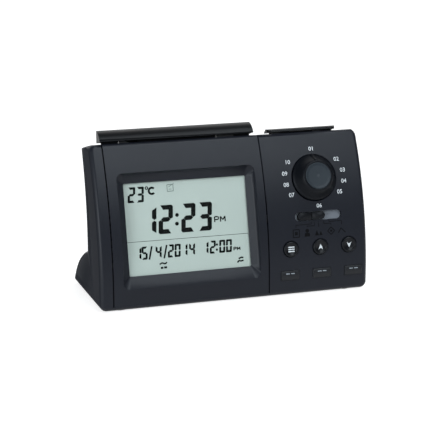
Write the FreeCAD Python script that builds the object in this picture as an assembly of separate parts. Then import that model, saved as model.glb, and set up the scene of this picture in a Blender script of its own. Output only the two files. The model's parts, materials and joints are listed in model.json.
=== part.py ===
import FreeCAD, Part
import math
import os

V = FreeCAD.Vector
os.makedirs("parts", exist_ok=True)

# Frame: X to the viewer's right, Y to the back, Z up, origin under the middle of the case.
# All lengths are millimetres and all angles are degrees.

# Case
case_width = 190.0
case_depth = 79.2
case_height = 108.5
front_radius = 200.0
front_spring = 10.0
top_slope = 16.7
slab_depth = 35.4
rear_radius = 180.0
rear_spring = 38.0
foot_radius = 64.6
foot_centre_z = -29.4
case_lift = 0.8
wall = 2.2
corner_radius = 5.5
toe_corner_radius = 4.5
front_edge_radius = 3.2
rear_edge_radius = 2.4
parting_base = 16.2
parting_tilt = 11.0
parting_gap = 0.2
tongue_depth = 2.4
tongue_thickness = 1.2
tongue_top = 84.0

# Display fascia and its recess
side_x = case_width / 2
fascia_margin = 8.9
fascia_width = 108.9
fascia_left = -side_x + fascia_margin
fascia_right = fascia_left + fascia_width
fascia_bottom = 3.5
fascia_thickness = 2.2
groove = 0.9
seat_gap = 0.1
ledge_thickness = 1.8
ledge_margin = 3.0
lcd_x = fascia_left + 55.05
lcd_z = 52.2
lcd_tilt = 13.55
lcd_view_width = 85.0
lcd_view_height = 61.6
recess_depth = 8.0
recess_width = 96.2
recess_height = 77.0
recess_drop = 0.8
recess_corner = 4.5
bevel_rise = 3.4
funnel_wall = 1.6

# Display stack, counted inwards from the bottom of the recess
window_thickness = 1.0
window_border = 1.5
lcd_thickness = 2.8
lcd_border = 3.2
holder_wall = 1.8
holder_lip = 2.2
zebra_height = 3.0
zebra_width = 2.2
board_thickness = 1.6
board_half_width = 53.6
board_half_height = 41.0
board_post_radius = 1.7
board_post_inset = 1.8
board_post_height = 38.6
board_screw_radius = 1.0
screw_head_radius = 1.9
screw_head_height = 1.2
screw_bite = 4.0
chip_radius = 7.0
chip_height = 1.6
sensor_radius = 1.7
sensor_length = 3.4
sensor_x = -46.0
sensor_y = -34.0

# Control panel beside the fascia
panel_width = side_x - fascia_right
panel_x = fascia_right + panel_width / 2

# Selector knob and its switch
knob_x = panel_x + 0.1
knob_z = 79.0
knob_radius = 15.6
knob_top_radius = 10.2
knob_skirt = 1.4
knob_height = 9.2
knob_cap_radius = 9.0
knob_cap_depth = 0.8
knob_cap_dish = 0.35
knob_shell = 1.8
knob_hub_radius = 5.0
knob_gap = 0.3
pointer_width = 1.8
pointer_height = 0.8
seat_depth = 0.7
seat_margin = 0.8
shaft_radius = 3.0
shaft_flat = 0.7
shaft_clearance = 0.04
bushing_radius = 4.2
bushing_rise = 1.7
nut_width = 11.0
nut_height = 1.8
switch_size = 15.0
switch_depth = 7.0

# Five position slide switch
slide_x = panel_x + 0.8
slide_z = 54.0
slot_length = 34.0
slot_height = 6.2
lever_length = 19.5
lever_height = 5.2
lever_rise = 0.7
lever_end_gap = 2.3
lever_notch = 0.9
lever_notch_depth = 0.8
neck_length = 3.0
neck_width = 2.4
neck_offset = -3.4
neck_depth = 3.0
backing_thickness = 0.8
backing_margin = 1.6
slide_body_length = 22.0
slide_body_height = 7.0
slide_body_depth = 5.0
slide_board_half = 23.0
slide_board_height = 10.0
slide_post_radius = 1.9
slide_post_x = 20.8

# Round buttons
button_xs = {
    "set_button": panel_x - 0.2784 * panel_width,
    "up_button": panel_x + 0.018 * panel_width,
    "down_button": panel_x + 0.3089 * panel_width,
}
button_z = 32.7
button_radius = 5.3
button_dish_radius = 3.8
button_dish_depth = 0.5
button_rise = 1.0
button_edge = 0.5
button_flange = 1.2
button_chamfer = 0.5
stem_radius = 1.6
flange_thickness = 1.0
button_travel = 1.0
press_clearance = 0.35

# Rectangular keys
key_xs = {
    "left_key": panel_x - 0.2916 * panel_width,
    "middle_key": panel_x + 0.0298 * panel_width,
    "right_key": panel_x + 0.3518 * panel_width,
}
key_z = 14.7
key_width = 13.1
key_height = 6.4
key_rise = 0.6
key_corner = 0.8
key_flange = 0.9

# Board and rubber keypad behind the buttons and keys
board_drop = 10.0
keypad_sheet = 1.0
dome_height = 1.4
dome_radius = 3.0
key_board_left = fascia_right + 8.2
key_board_right = side_x - 6.6
key_board_top = 39.5
key_board_bottom = 9.0
key_post_xs = (panel_x - 0.13 * panel_width, panel_x + 0.163 * panel_width)
key_post_z = 23.6
key_post_radius = 1.9

# Bars on the top, in the frame of the sloping top
snooze_left = -side_x + 8.0
snooze_length = 107.4
snooze_right = snooze_left + snooze_length
snooze_front = 1.1
snooze_crest_y = 8.3
snooze_crest = 9.8
snooze_back = 10.7
snooze_belly_y = 3.1
snooze_belly = 6.1
snooze_gap = 1.7
snooze_travel = 1.2
snooze_post_half = 34.0
light_length = 50.0
light_left = panel_x - 2.9 - light_length / 2
light_right = light_left + light_length
light_front = 1.5
light_crest_y = 6.6
light_crest = 3.6
light_back = 10.4
light_belly_y = 3.4
light_belly = 3.0
light_gap = 1.2
light_travel = 0.8
light_end_radius = 3.6
light_post_half = 15.0
bar_wall = 1.4
bar_edge = 0.7
bar_post_length = 12.0
bar_post_front = 3.2
bar_post_back = 7.8
bar_lip = 1.1
shelf_depth = 12.0
shelf_thickness = 1.2
shelf_left = -side_x + 17.0
shelf_right = side_x - 15.0
shelf_back = 11.0
bar_board_front = 3.2
bar_board_back = 8.4
bar_board_thickness = 1.0
bar_dome_radius = 2.1
bar_dome_clearance = 0.4

# Battery compartment in the foot
cell_length = 50.5
cell_radius = 7.25
cell_nub_radius = 2.7
cell_nub_length = 1.2
cell_clearance = 0.35
cell_pitch = 15.0
contact_room = 2.6
contact_thickness = 0.5
contact_size = 9.0
bay_wall = 1.5
bay_front_gap = 0.5
door_thickness = 2.0
door_start_angle = 35.0
door_end_angle = 66.0
door_half_width = 30.4
door_clearance = 0.25
door_tab_x = 16.0
door_tab_width = 7.0
door_tab_length = 1.6
door_tab_thickness = 1.2
latch_width = 11.0
latch_length = 8.0
latch_slit = 0.7
latch_ridge = 0.7

# Speaker in the rear cover
speaker_x = side_x - 43.0
speaker_z = 66.0
speaker_radius = 18.0
speaker_depth = 7.0
speaker_rim = 1.6
magnet_radius = 9.5
cone_radius = 15.0
cone_depth = 4.0
cone_sheet = 0.4
dust_cap_radius = 4.5
speaker_seat = 0.8
grille_radius = 15.0
grille_pitch = 3.6
grille_slot = 1.6
grille_rows = 4
clamp_thickness = 1.2
clamp_post_offset = 21.6
clamp_post_radius = 2.0

# Screws and feet
cover_screw_x = side_x - 6.4
cover_screw_zs = (46.0, 92.0)
boss_radius = 3.3
tube_radius = 4.3
screw_radius = 1.3
screw_clearance = 0.03
cover_head_radius = 2.7
cover_head_height = 1.7
counterbore_radius = 3.1
counterbore_depth = 4.5
cover_screw_bite = 8.0
foot_pad_radius = 4.6
foot_pad_recess = 0.6
foot_pad_clearance = 0.05
foot_pad_x = side_x - 15.0
foot_pad_front = 9.0
foot_pad_rear = 9.5

# Values worked out from the driving dimensions
front_y = -case_depth / 2
rear_y = case_depth / 2
front_centre_y = front_y + front_radius
rear_centre_y = front_y + slab_depth + rear_radius
foot_reach = math.sqrt(foot_radius ** 2 - (case_lift - foot_centre_z) ** 2)
foot_centre_y = rear_y - foot_reach
top_front_y = front_centre_y - math.sqrt(front_radius ** 2 - (case_height - front_spring) ** 2)
slope_sin = math.sin(math.radians(top_slope))
slope_cos = math.cos(math.radians(top_slope))
parting_y = front_y + parting_base
far = 300.0
pin_sides = 12


# Frames and basic forms
def placed(shape, frame):
    moved = shape.copy()
    moved.Placement = frame.multiply(moved.Placement)
    return moved


def facing_front(x, y, z, tilt):
    """Local X to the right, local Y up the panel, local Z out of it."""
    return FreeCAD.Placement(V(x, y, z), FreeCAD.Rotation(V(1, 0, 0), 90 - tilt))


def facing_rear(x, y, z, tilt):
    """Local Z out of the rear wall, which leans back over by tilt."""
    turned = FreeCAD.Rotation(V(0, 0, 1), 180)
    leaned = FreeCAD.Rotation(V(1, 0, 0), 90 + tilt)
    return FreeCAD.Placement(V(x, y, z), turned.multiply(leaned))


def panel_tilt(z):
    return math.degrees(math.asin(max(z - front_spring, 0) / front_radius))


def panel_y(z):
    return front_centre_y - front_radius * math.cos(math.radians(panel_tilt(z)))


def panel_frame(x, z):
    return facing_front(x, panel_y(z), z, panel_tilt(z))


def rear_wall_y(z):
    return rear_centre_y - math.sqrt(rear_radius ** 2 - (z - rear_spring) ** 2)


def rear_frame(x, z):
    tilt = math.degrees(math.asin((z - rear_spring) / rear_radius))
    return facing_rear(x, rear_wall_y(z), z, tilt)


def block(low, high):
    size = V(*high) - V(*low)
    return Part.makeBox(size.x, size.y, size.z, V(*low))


def rod(radius, low, high, x=0.0, y=0.0):
    return Part.makeCylinder(radius, high - low, V(x, y, low))


def pin(radius, low, high, x=0.0, y=0.0):
    """A small hidden post, screw or hole, with flats instead of a round side."""
    steps = [2 * math.pi * (i % pin_sides) / pin_sides for i in range(pin_sides + 1)]
    ring = [V(x + radius * math.cos(a), y + radius * math.sin(a), low) for a in steps]
    return Part.Face(Part.makePolygon(ring)).extrude(V(0, 0, high - low))


def pin_along_y(radius, low, high, x, z):
    upright = pin(radius, low, high)
    return placed(upright, FreeCAD.Placement(V(x, 0, z), FreeCAD.Rotation(V(1, 0, 0), -90)))


def rounded_wire(width, height, radius, level, x=0.0, y=0.0):
    right, top = width / 2, height / 2
    bend = radius * (1 - math.sqrt(0.5))
    corners = []
    for sx, sy in ((1, 1), (-1, 1), (-1, -1), (1, -1)):
        start = V(x + sx * right, y + sy * (top - radius), level)
        middle = V(x + sx * (right - bend), y + sy * (top - bend), level)
        end = V(x + sx * (right - radius), y + sy * top, level)
        if sx * sy < 0:
            start, end = end, start
        corners.append((start, middle, end))
    edges = []
    for i, (start, middle, end) in enumerate(corners):
        edges.append(Part.Arc(start, middle, end).toShape())
        following = corners[(i + 1) % 4][0]
        if end.distanceToPoint(following) > 1e-6:
            edges.append(Part.LineSegment(end, following).toShape())
    return Part.Wire(edges)


def rounded_block(width, height, radius, low, high, x=0.0, y=0.0):
    face = Part.Face(rounded_wire(width, height, radius, low, x, y))
    return face.extrude(V(0, 0, high - low))


def stadium(length, height, low, high, x=0.0, y=0.0):
    return rounded_block(length, height, height / 2 - 1e-4, low, high, x, y)


def turned(points):
    """Solid of revolution about local Z from (radius, height) corners."""
    corners = [V(r, 0, h) for r, h in points]
    face = Part.Face(Part.makePolygon(corners + corners[:1]))
    return face.revolve(V(0, 0, 0), V(0, 0, 1), 360)


def fused(shapes):
    whole = shapes[0]
    if len(shapes) > 1:
        whole = whole.fuse(shapes[1:])
    return whole.removeSplitter()


def without(shape, cutters):
    return shape.cut(cutters) if cutters else shape


# Case outline
def crossing_circle_line(centre, radius, point, direction):
    """The two points where a line crosses a circle, in order along the line."""
    fy, fz = point[0] - centre[0], point[1] - centre[1]
    along = fy * direction[0] + fz * direction[1]
    root = math.sqrt(along ** 2 - (fy ** 2 + fz ** 2 - radius ** 2))
    return [
        (point[0] + s * direction[0], point[1] + s * direction[1])
        for s in (-along - root, -along + root)
    ]


def crossing_circles(c0, r0, c1, r1):
    """The higher of the two crossings of two circles."""
    dy, dz = c1[0] - c0[0], c1[1] - c0[1]
    gap = math.hypot(dy, dz)
    along = (r0 ** 2 - r1 ** 2 + gap ** 2) / (2 * gap)
    off = math.sqrt(r0 ** 2 - along ** 2)
    base = (c0[0] + along * dy / gap, c0[1] + along * dz / gap)
    ends = [(base[0] + s * off * dz / gap, base[1] - s * off * dy / gap) for s in (1, -1)]
    return max(ends, key=lambda end: end[1])


def arc_between(centre, radius, start, end):
    a = math.atan2(start[1] - centre[1], start[0] - centre[0])
    b = math.atan2(end[1] - centre[1], end[0] - centre[0])
    if b - a > math.pi:
        b -= 2 * math.pi
    if a - b > math.pi:
        b += 2 * math.pi
    middle = (centre[0] + radius * math.cos((a + b) / 2), centre[1] + radius * math.sin((a + b) / 2))
    return Part.Arc(V(0, *start), V(0, *middle), V(0, *end)).toShape()


def line_between(start, end):
    return Part.LineSegment(V(0, *start), V(0, *end)).toShape()


def side_outline(inset):
    """Closed outline of the case seen from the side, moved inwards by inset."""
    front_c = (front_centre_y, front_spring)
    rear_c = (rear_centre_y, rear_spring)
    foot_c = (foot_centre_y, foot_centre_z)
    down = (slope_cos, -slope_sin)
    on_top = (top_front_y - inset * slope_sin, case_height - inset * slope_cos)
    floor = case_lift + inset
    toe = (front_y + inset, floor)
    spring = (front_y + inset, front_spring)
    brow = crossing_circle_line(front_c, front_radius - inset, on_top, down)[0]
    nape = crossing_circle_line(rear_c, rear_radius + inset, on_top, down)[0]
    valley = crossing_circles(rear_c, rear_radius + inset, foot_c, foot_radius - inset)
    if valley[1] > nape[1]:
        raise ValueError("the foot is higher than the case")
    heel = crossing_circle_line(foot_c, foot_radius - inset, (0, floor), (1, 0))[1]
    edges = [
        line_between(toe, spring),
        arc_between(front_c, front_radius - inset, spring, brow),
        line_between(brow, nape),
        arc_between(rear_c, rear_radius + inset, nape, valley),
        arc_between(foot_c, foot_radius - inset, valley, heel),
        line_between(heel, toe),
    ]
    return Part.Face(Part.Wire(edges))


def case_solid(inset):
    """The case outline as a solid, with rounded top and bottom corners."""
    half = side_x - inset
    side = side_outline(inset)
    side.translate(V(-half, 0, 0))
    slab = side.extrude(V(2 * half, 0, 0))
    low, high = case_lift + inset, case_height - inset * slope_cos
    edge_top, edge_low = corner_radius, toe_corner_radius
    bend = 1 - math.sqrt(0.5)
    points = []
    for sx in (1, -1):
        for sz, radius in ((1, edge_top), (-1, edge_low)):
            z = high if sz > 0 else low
            near = V(sx * half, -far, z - sz * radius)
            middle = V(sx * (half - bend * radius), -far, z - sz * bend * radius)
            away = V(sx * (half - radius), -far, z)
            points.append((near, middle, away))
    (r1, r2, r3), (r4, r5, r6), (l1, l2, l3), (l4, l5, l6) = points
    edges = [
        Part.Arc(r1, r2, r3).toShape(),
        Part.LineSegment(r3, l3).toShape(),
        Part.Arc(l3, l2, l1).toShape(),
        Part.LineSegment(l1, l4).toShape(),
        Part.Arc(l4, l5, l6).toShape(),
        Part.LineSegment(l6, r6).toShape(),
        Part.Arc(r6, r5, r4).toShape(),
        Part.LineSegment(r4, r1).toShape(),
    ]
    outline = Part.Face(Part.Wire(edges)).extrude(V(0, 2 * far, 0))
    return slab.common(outline)


def on_front(point):
    return abs(point.y - panel_y(point.z)) < 1e-3


def on_rear(point):
    """True on the rear wall or on the top of the foot."""
    on_wall = abs(point.y - rear_wall_y(point.z)) < 1e-3
    reach = math.hypot(point.y - foot_centre_y, point.z - foot_centre_z)
    return on_wall or abs(reach - foot_radius) < 1e-3


def long_edges(shape, surface_test, skip_level=None):
    """The outline edges of the front or of the rear, without the seams inside it."""
    picked = []
    for edge in shape.Edges:
        ends = [edge.valueAt(edge.FirstParameter), edge.valueAt(edge.LastParameter)]
        middle = edge.valueAt((edge.FirstParameter + edge.LastParameter) / 2)
        inner_seam = abs(ends[0].x - ends[1].x) > case_width / 2 and skip_level(middle)
        if all(surface_test(p) for p in ends + [middle]) and not inner_seam:
            picked.append(edge)
    return picked


def case_outside():
    """The finished outside of the case, with its long edges rounded."""
    shape = case_solid(0.0)
    front = long_edges(shape, on_front, lambda p: abs(p.z - front_spring) < 1e-3)
    shape = shape.makeFillet(front_edge_radius, front)
    valley_z = 0.9 * rear_spring
    rear = long_edges(shape, on_rear, lambda p: abs(p.z - valley_z) < rear_spring / 4)
    return shape.makeChamfer(0.7 * rear_edge_radius, rear)


# Shared solids of the case
outside = case_outside()
hollow = case_solid(wall)


def shifted_case(depth):
    moved = outside.copy()
    moved.translate(V(0, depth, 0))
    return moved


def skin(start, end):
    """The layer of the case between two depths behind its front surface."""
    return outside.common(shifted_case(start)).cut(shifted_case(end))


def across(left, right, bottom=-far, top=far):
    return block((left, -far, bottom), (right, far, top))


def half_space(gap, front):
    """Everything in front of, or behind, the parting plane."""
    frame = facing_front(0, parting_y + gap, 0, parting_tilt)
    if front:
        return placed(block((-far, -far, 0), (far, far, far)), frame)
    return placed(block((-far, -far, -far), (far, far, 0)), frame)


lcd_frame = facing_front(lcd_x, panel_y(lcd_z) + recess_depth, lcd_z, lcd_tilt)
knob_frame = panel_frame(knob_x, knob_z)
slide_frame = panel_frame(slide_x, slide_z)
key_board_frame = panel_frame(slide_x, button_z)
top_frame = FreeCAD.Placement(
    V(0, top_front_y, case_height), FreeCAD.Rotation(V(1, 0, 0), -top_slope)
)

# Levels in the display stack, in the display's frame
window_front = -seat_gap / 2
window_back = window_front - window_thickness
lcd_front = window_back - seat_gap / 2
lcd_back = lcd_front - lcd_thickness
board_front = lcd_back - zebra_height
board_back = board_front - board_thickness


# Fascia with the display recess
def recess(grow, bottom):
    """The tapered recess round the display, grown sideways by grow."""
    inner = rounded_wire(
        lcd_view_width + 2 * grow, lcd_view_height + 2 * grow, 0.8 + grow, bottom
    )
    outer = rounded_wire(
        recess_width + 2 * grow, recess_height + 2 * grow, recess_corner + grow, bevel_rise, 0, -recess_drop
    )
    bevel = Part.makeLoft([inner, outer], True, True)
    shaft = rounded_block(
        recess_width + 2 * grow,
        recess_height + 2 * grow,
        recess_corner + grow,
        bevel_rise,
        far,
        0,
        -recess_drop,
    )
    return placed(fused([bevel, shaft]), lcd_frame)


def make_fascia():
    band = across(fascia_left + groove / 2, fascia_right - groove / 2, fascia_bottom)
    plate = skin(0, fascia_thickness).common(band)
    funnel = recess(funnel_wall, 0.0).common(outside)
    return fused([plate, funnel]).cut(recess(0.0, 0.0)).cut(
        placed(
            rounded_block(lcd_view_width, lcd_view_height, 0.8, -1, 1), lcd_frame
        )
    )


# Display stack
def make_window():
    width = lcd_view_width + 2 * window_border
    height = lcd_view_height + 2 * window_border
    return placed(rounded_block(width, height, 1.0, window_back, window_front), lcd_frame)


def lcd_size():
    return lcd_view_width + 2 * lcd_border, lcd_view_height + 2 * lcd_border


def make_lcd():
    width, height = lcd_size()
    return placed(rounded_block(width, height, 0.3, lcd_back, lcd_front), lcd_frame)


def make_holder():
    width, height = lcd_size()
    inner_w, inner_h = width + 2 * seat_gap, height + 2 * seat_gap
    outer_w, outer_h = inner_w + 2 * holder_wall, inner_h + 2 * holder_wall
    frame = rounded_block(outer_w, outer_h, 2.0, board_front + seat_gap, window_back)
    seat = rounded_block(inner_w, inner_h, 0.5, lcd_back - seat_gap, window_back + 1)
    side = inner_w / 2 - holder_lip
    window = rounded_block(2 * side, inner_h, 0.5, board_front, window_back)
    return placed(frame.cut(seat).cut(window), lcd_frame)


def make_zebra_strips():
    width, height = lcd_size()
    half = width / 2 - holder_lip - 1.0
    strips = []
    for side in (1, -1):
        middle = side * (height / 2 - zebra_width)
        low, high = middle - zebra_width / 2, middle + zebra_width / 2
        strips.append(block((-half, low, board_front), (half, high, lcd_back)))
    return placed(Part.makeCompound(strips), lcd_frame)


def board_corners():
    x = board_half_width - board_post_inset
    return [(sx * x, sy * board_post_height) for sx in (-1, 1) for sy in (-1, 1)]


def make_main_board():
    plate = rounded_block(
        2 * board_half_width, 2 * board_half_height, 1.5, board_back, board_front
    )
    holes = [
        pin(board_screw_radius + screw_clearance, board_back - 1, board_front + 1, x, y)
        for x, y in board_corners()
    ]
    return placed(plate.cut(holes), lcd_frame)


def make_board_screws():
    screws = []
    for x, y in board_corners():
        head = pin(screw_head_radius, board_back - screw_head_height, board_back, x, y)
        shank = pin(board_screw_radius, board_back, board_front + screw_bite, x, y)
        screws.append(fused([head, shank]))
    return placed(Part.makeCompound(screws), lcd_frame)


def make_chip():
    return placed(pin(chip_radius, board_back - chip_height, board_back), lcd_frame)


def make_sensor():
    low = board_back - sensor_length
    bead = pin(sensor_radius, low, board_back, sensor_x, sensor_y)
    return placed(bead, lcd_frame)


# Selector knob and its switch
switch_front = -wall - 0.25
switch_back = switch_front - switch_depth
knob_bottom = -seat_depth + knob_gap
knob_top = knob_bottom + knob_height


def make_rotary_switch():
    box = rounded_block(switch_size, switch_size, 1.5, switch_back, switch_front)
    bushing = rod(bushing_radius, switch_front, bushing_rise)
    bore = rod(shaft_radius + shaft_clearance, switch_back - 1, bushing_rise + 1)
    return placed(fused([box, bushing]).cut(bore), knob_frame)


def make_switch_nut():
    low = -seat_depth + seat_gap / 2
    corner = nut_width / math.sqrt(3)
    steps = [math.radians(60 * i + 30) for i in range(7)]
    ring = Part.makePolygon([V(corner * math.cos(a), corner * math.sin(a), low) for a in steps])
    nut = Part.Face(ring).extrude(V(0, 0, nut_height))
    return placed(nut.cut(rod(bushing_radius + screw_clearance, low - 1, low + 2 * nut_height)), knob_frame)


def shaft_form(radius, low, high):
    """A round shaft with a flat on the side away from the pointer."""
    flat_side = block((-far, -far, low - 1), (far, -radius + shaft_flat, high + 1))
    return rod(radius, low, high).cut(flat_side)


def make_shaft():
    high = knob_top - knob_cap_depth - 1.2
    return placed(shaft_form(shaft_radius, switch_back, high), knob_frame)


def make_knob():
    edge = 0.5
    body = turned(
        [
            (0, knob_bottom),
            (knob_radius - edge / 2, knob_bottom),
            (knob_radius, knob_bottom + edge / 2),
            (knob_radius, knob_bottom + knob_skirt),
            (knob_radius - edge, knob_bottom + knob_skirt + edge / 2),
            (knob_top_radius + edge, knob_top - edge),
            (knob_top_radius - edge / 2, knob_top),
            (0, knob_top),
        ]
    )
    ridge = block(
        (-pointer_width / 2, knob_top_radius - 2.0, knob_bottom + knob_skirt),
        (pointer_width / 2, knob_radius + 0.4, knob_top),
    )
    slope = turned(
        [
            (0, knob_bottom + knob_skirt),
            (knob_radius + pointer_height, knob_bottom + knob_skirt),
            (knob_top_radius + pointer_height, knob_top),
            (0, knob_top),
        ]
    )
    grip = body.fuse(ridge.common(slope))
    cap_seat = rod(knob_cap_radius + seat_gap, knob_top - knob_cap_depth, knob_top + 1)
    hollow_top = knob_top - knob_cap_depth - 2.2
    hollow_low = turned(
        [
            (0, knob_bottom - 1),
            (knob_radius - knob_shell, knob_bottom - 1),
            (knob_radius - knob_shell, knob_bottom + knob_skirt),
            (knob_top_radius - knob_shell, hollow_top),
            (0, hollow_top),
        ]
    )
    hub = rod(knob_hub_radius, bushing_rise + knob_gap, hollow_top + 1)
    bore_top = knob_top - knob_cap_depth - 1.2 + shaft_clearance
    bore = shaft_form(shaft_radius + shaft_clearance, -far, bore_top)
    return placed(fused([grip.cut(cap_seat).cut(hollow_low), hub]).cut(bore), knob_frame)


def make_knob_cap():
    low = knob_top - knob_cap_depth + seat_gap / 2
    disc = turned(
        [
            (0, low),
            (knob_cap_radius, low),
            (knob_cap_radius, knob_top),
            (knob_cap_radius - 0.5, knob_top + 0.15),
            (knob_cap_radius - 1.0, knob_top - knob_cap_dish / 2),
            (0, knob_top - knob_cap_dish),
        ]
    )
    return placed(disc, knob_frame)


# Slide switch
backing_front = -wall - 0.25
backing_back = backing_front - backing_thickness
slide_front = backing_back - seat_gap / 2
slide_back = slide_front - slide_body_depth
slide_board_front = slide_back - seat_gap / 2
lever_travel = slot_length - 2 * lever_end_gap - lever_length
lever_x = -slot_length / 2 + lever_end_gap + lever_length / 2
neck_x = lever_x + neck_offset


def neck_slot(width, low, high):
    middle = neck_x + lever_travel / 2
    length = lever_travel + neck_length + 2 * seat_gap + 0.2
    return rounded_block(length, width, 0.3, low, high, middle)


def make_backing():
    plate = rounded_block(
        slot_length + 2 * backing_margin,
        slot_height + 2 * backing_margin,
        1.5,
        backing_back,
        backing_front,
    )
    return placed(plate.cut(neck_slot(neck_width + 0.4, backing_back - 1, 0)), slide_frame)


def make_slide_switch():
    middle = neck_x + lever_travel / 2
    box = rounded_block(slide_body_length, slide_body_height, 0.5, slide_back, slide_front, middle)
    channel_low = slide_front - neck_depth - seat_gap
    channel = neck_slot(neck_width + 0.4, channel_low, slide_front + 1)
    return placed(box.cut(channel), slide_frame)


def make_lever():
    low = backing_front + seat_gap
    thumb = stadium(lever_length, lever_height, low, lever_rise, lever_x)
    rim = [e for e in thumb.Edges if abs(e.BoundBox.ZMin - lever_rise) < 1e-6]
    thumb = thumb.makeChamfer(0.3, rim)
    notch = block(
        (lever_x - lever_notch / 2, -far, lever_rise - lever_notch_depth),
        (lever_x + lever_notch / 2, far, far),
    )
    neck = block(
        (neck_x - neck_length / 2, -neck_width / 2, slide_front - neck_depth),
        (neck_x + neck_length / 2, neck_width / 2, low + 0.5),
    )
    return placed(fused([thumb.cut(notch), neck]), slide_frame)


def make_slide_board():
    low = slide_board_front - board_thickness
    plate = rounded_block(2 * slide_board_half, slide_board_height, 1.0, low, slide_board_front)
    return placed(plate, slide_frame)


# Buttons, keys, keypad and key board
def depth_to_board(frame):
    """How far the key board's front face lies behind a control, along the board's normal."""
    back = key_board_frame.inverse().multVec(frame.Base)
    return back.z + board_drop


def stem_end(frame):
    pressed = depth_to_board(frame) - keypad_sheet - dome_height - press_clearance
    return -(pressed - button_travel)


def make_button(x):
    frame = panel_frame(x, button_z)
    flange_top = -wall - 0.15
    cap = turned(
        [
            (0, flange_top),
            (button_radius, flange_top),
            (button_radius, button_rise - button_edge),
            (button_radius - button_edge, button_rise),
            (button_dish_radius + 0.3, button_rise),
            (button_dish_radius, button_rise - button_dish_depth),
            (0, button_rise - button_dish_depth),
        ]
    )
    flange = rod(button_radius + button_flange, flange_top - flange_thickness, flange_top)
    stem = pin(stem_radius, stem_end(frame), flange_top - flange_thickness + 0.2)
    return placed(fused([cap, flange, stem]), frame)


def make_key(x):
    frame = panel_frame(x, key_z)
    flange_top = -wall - 0.15
    cap = rounded_block(key_width, key_height, key_corner, flange_top - 0.2, key_rise)
    rim = [e for e in cap.Edges if abs(e.BoundBox.ZMin - key_rise) < 1e-6]
    cap = cap.makeChamfer(0.25, rim)
    flange = rounded_block(
        key_width + 2 * key_flange,
        key_height + 2 * key_flange,
        key_corner,
        flange_top - flange_thickness,
        flange_top,
    )
    stem = pin(stem_radius, stem_end(frame), flange_top - flange_thickness + 0.2)
    return placed(fused([cap, flange, stem]), frame)


def on_key_board(x, z):
    """A control's place in the key board's own plane."""
    point = key_board_frame.inverse().multVec(V(x, panel_y(z), z))
    return point.x, point.y


def key_board_plate(low, high, grow=0.0):
    left, bottom = on_key_board(key_board_left, key_board_bottom)
    right, top = on_key_board(key_board_right, key_board_top)
    return rounded_block(
        right - left + 2 * grow,
        top - bottom + 2 * grow,
        1.5,
        low,
        high,
        (left + right) / 2,
        (top + bottom) / 2,
    )


def control_places():
    places = [(x, button_z) for x in button_xs.values()]
    return places + [(x, key_z) for x in key_xs.values()]


def make_keypad():
    sheet = key_board_plate(-board_drop, -board_drop + keypad_sheet, -1.0)
    domes = []
    for x, z in control_places():
        u, v = on_key_board(x, z)
        base = -board_drop + keypad_sheet
        domes.append(pin(dome_radius, base, base + dome_height, u, v))
    holes = []
    for x in key_post_xs:
        u, v = on_key_board(x, key_post_z)
        holes.append(pin(key_post_radius + 0.4, -board_drop - 1, 0, u, v))
    return placed(fused([sheet] + domes).cut(holes), key_board_frame)


def make_key_board():
    high = -board_drop - seat_gap / 2
    return placed(key_board_plate(high - board_thickness, high), key_board_frame)


# Bars on the top
def bar_profile(left, points, gap):
    """Side outline of a bar: flat underside, bulging front, crest and back."""
    front, belly_y, belly, crest_y, crest, back = points
    a, b, c, d = V(left, front, gap), V(left, belly_y, belly), V(left, crest_y, crest), V(left, back, gap)
    lip = V(left, front, gap + bar_edge)
    edges = [
        Part.LineSegment(a, lip).toShape(),
        Part.Arc(lip, b, c).toShape(),
        Part.LineSegment(c, d).toShape(),
        Part.LineSegment(d, a).toShape(),
    ]
    return Part.Face(Part.Wire(edges))


def bar_solid(left, right, points, gap, end_radius):
    solid = bar_profile(left, points, gap).extrude(V(right - left, 0, 0))
    if end_radius:
        front, back = points[0], points[5]
        outline = rounded_block(
            right - left,
            2 * (back - front),
            end_radius,
            gap - 1,
            far,
            (left + right) / 2,
            back,
        )
        solid = solid.common(outline)
    return solid


def bar_post(x, gap, travel):
    """A guide post through the top wall, with a lip that stops it coming out."""
    low = -wall - flange_thickness - 0.15
    post = block(
        (x - bar_post_length / 2, bar_post_front, low),
        (x + bar_post_length / 2, bar_post_back, gap + 0.6),
    )
    lip = block(
        (x - bar_post_length / 2 - bar_lip, bar_post_front, low),
        (x + bar_post_length / 2 + bar_lip, bar_post_back, -wall - 0.15),
    )
    stem_low = bar_board_top() + bar_dome_clearance + travel + bar_dome_rise
    stem = pin(stem_radius, stem_low, low + 0.3, x, (bar_post_front + bar_post_back) / 2)
    return [post, lip, stem]


bar_dome_rise = 1.4


def bar_board_top():
    return -shelf_depth + bar_board_thickness + seat_gap / 2


def hollowed_bar(left, right, points, gap, end_radius):
    solid = bar_solid(left, right, points, gap, end_radius)
    front, belly_y, belly, crest_y, crest, back = points
    inner = (
        front + bar_wall,
        belly_y + bar_wall * 0.7,
        belly - bar_wall * 0.7,
        crest_y,
        crest - bar_wall * 1.3,
        back - bar_wall,
    )
    room = bar_solid(left + bar_wall, right - bar_wall, inner, gap, 0)
    lowered = room.copy()
    lowered.translate(V(0, 0, -0.5))
    return solid.cut(fused([room, lowered]))


snooze_points = (
    snooze_front, snooze_belly_y, snooze_belly, snooze_crest_y, snooze_crest, snooze_back
)
light_points = (light_front, light_belly_y, light_belly, light_crest_y, light_crest, light_back)
snooze_middle = (snooze_left + snooze_right) / 2
light_middle = (light_left + light_right) / 2
snooze_posts = (snooze_middle - snooze_post_half, snooze_middle + snooze_post_half)
light_posts = (light_middle - light_post_half, light_middle + light_post_half)


def post_root(x, points, gap, top):
    """The part of a guide post inside the bar, up to the underside of its skin."""
    return block(
        (x - bar_post_length / 2, bar_post_front, gap),
        (x + bar_post_length / 2, bar_post_back, top),
    )


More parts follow.
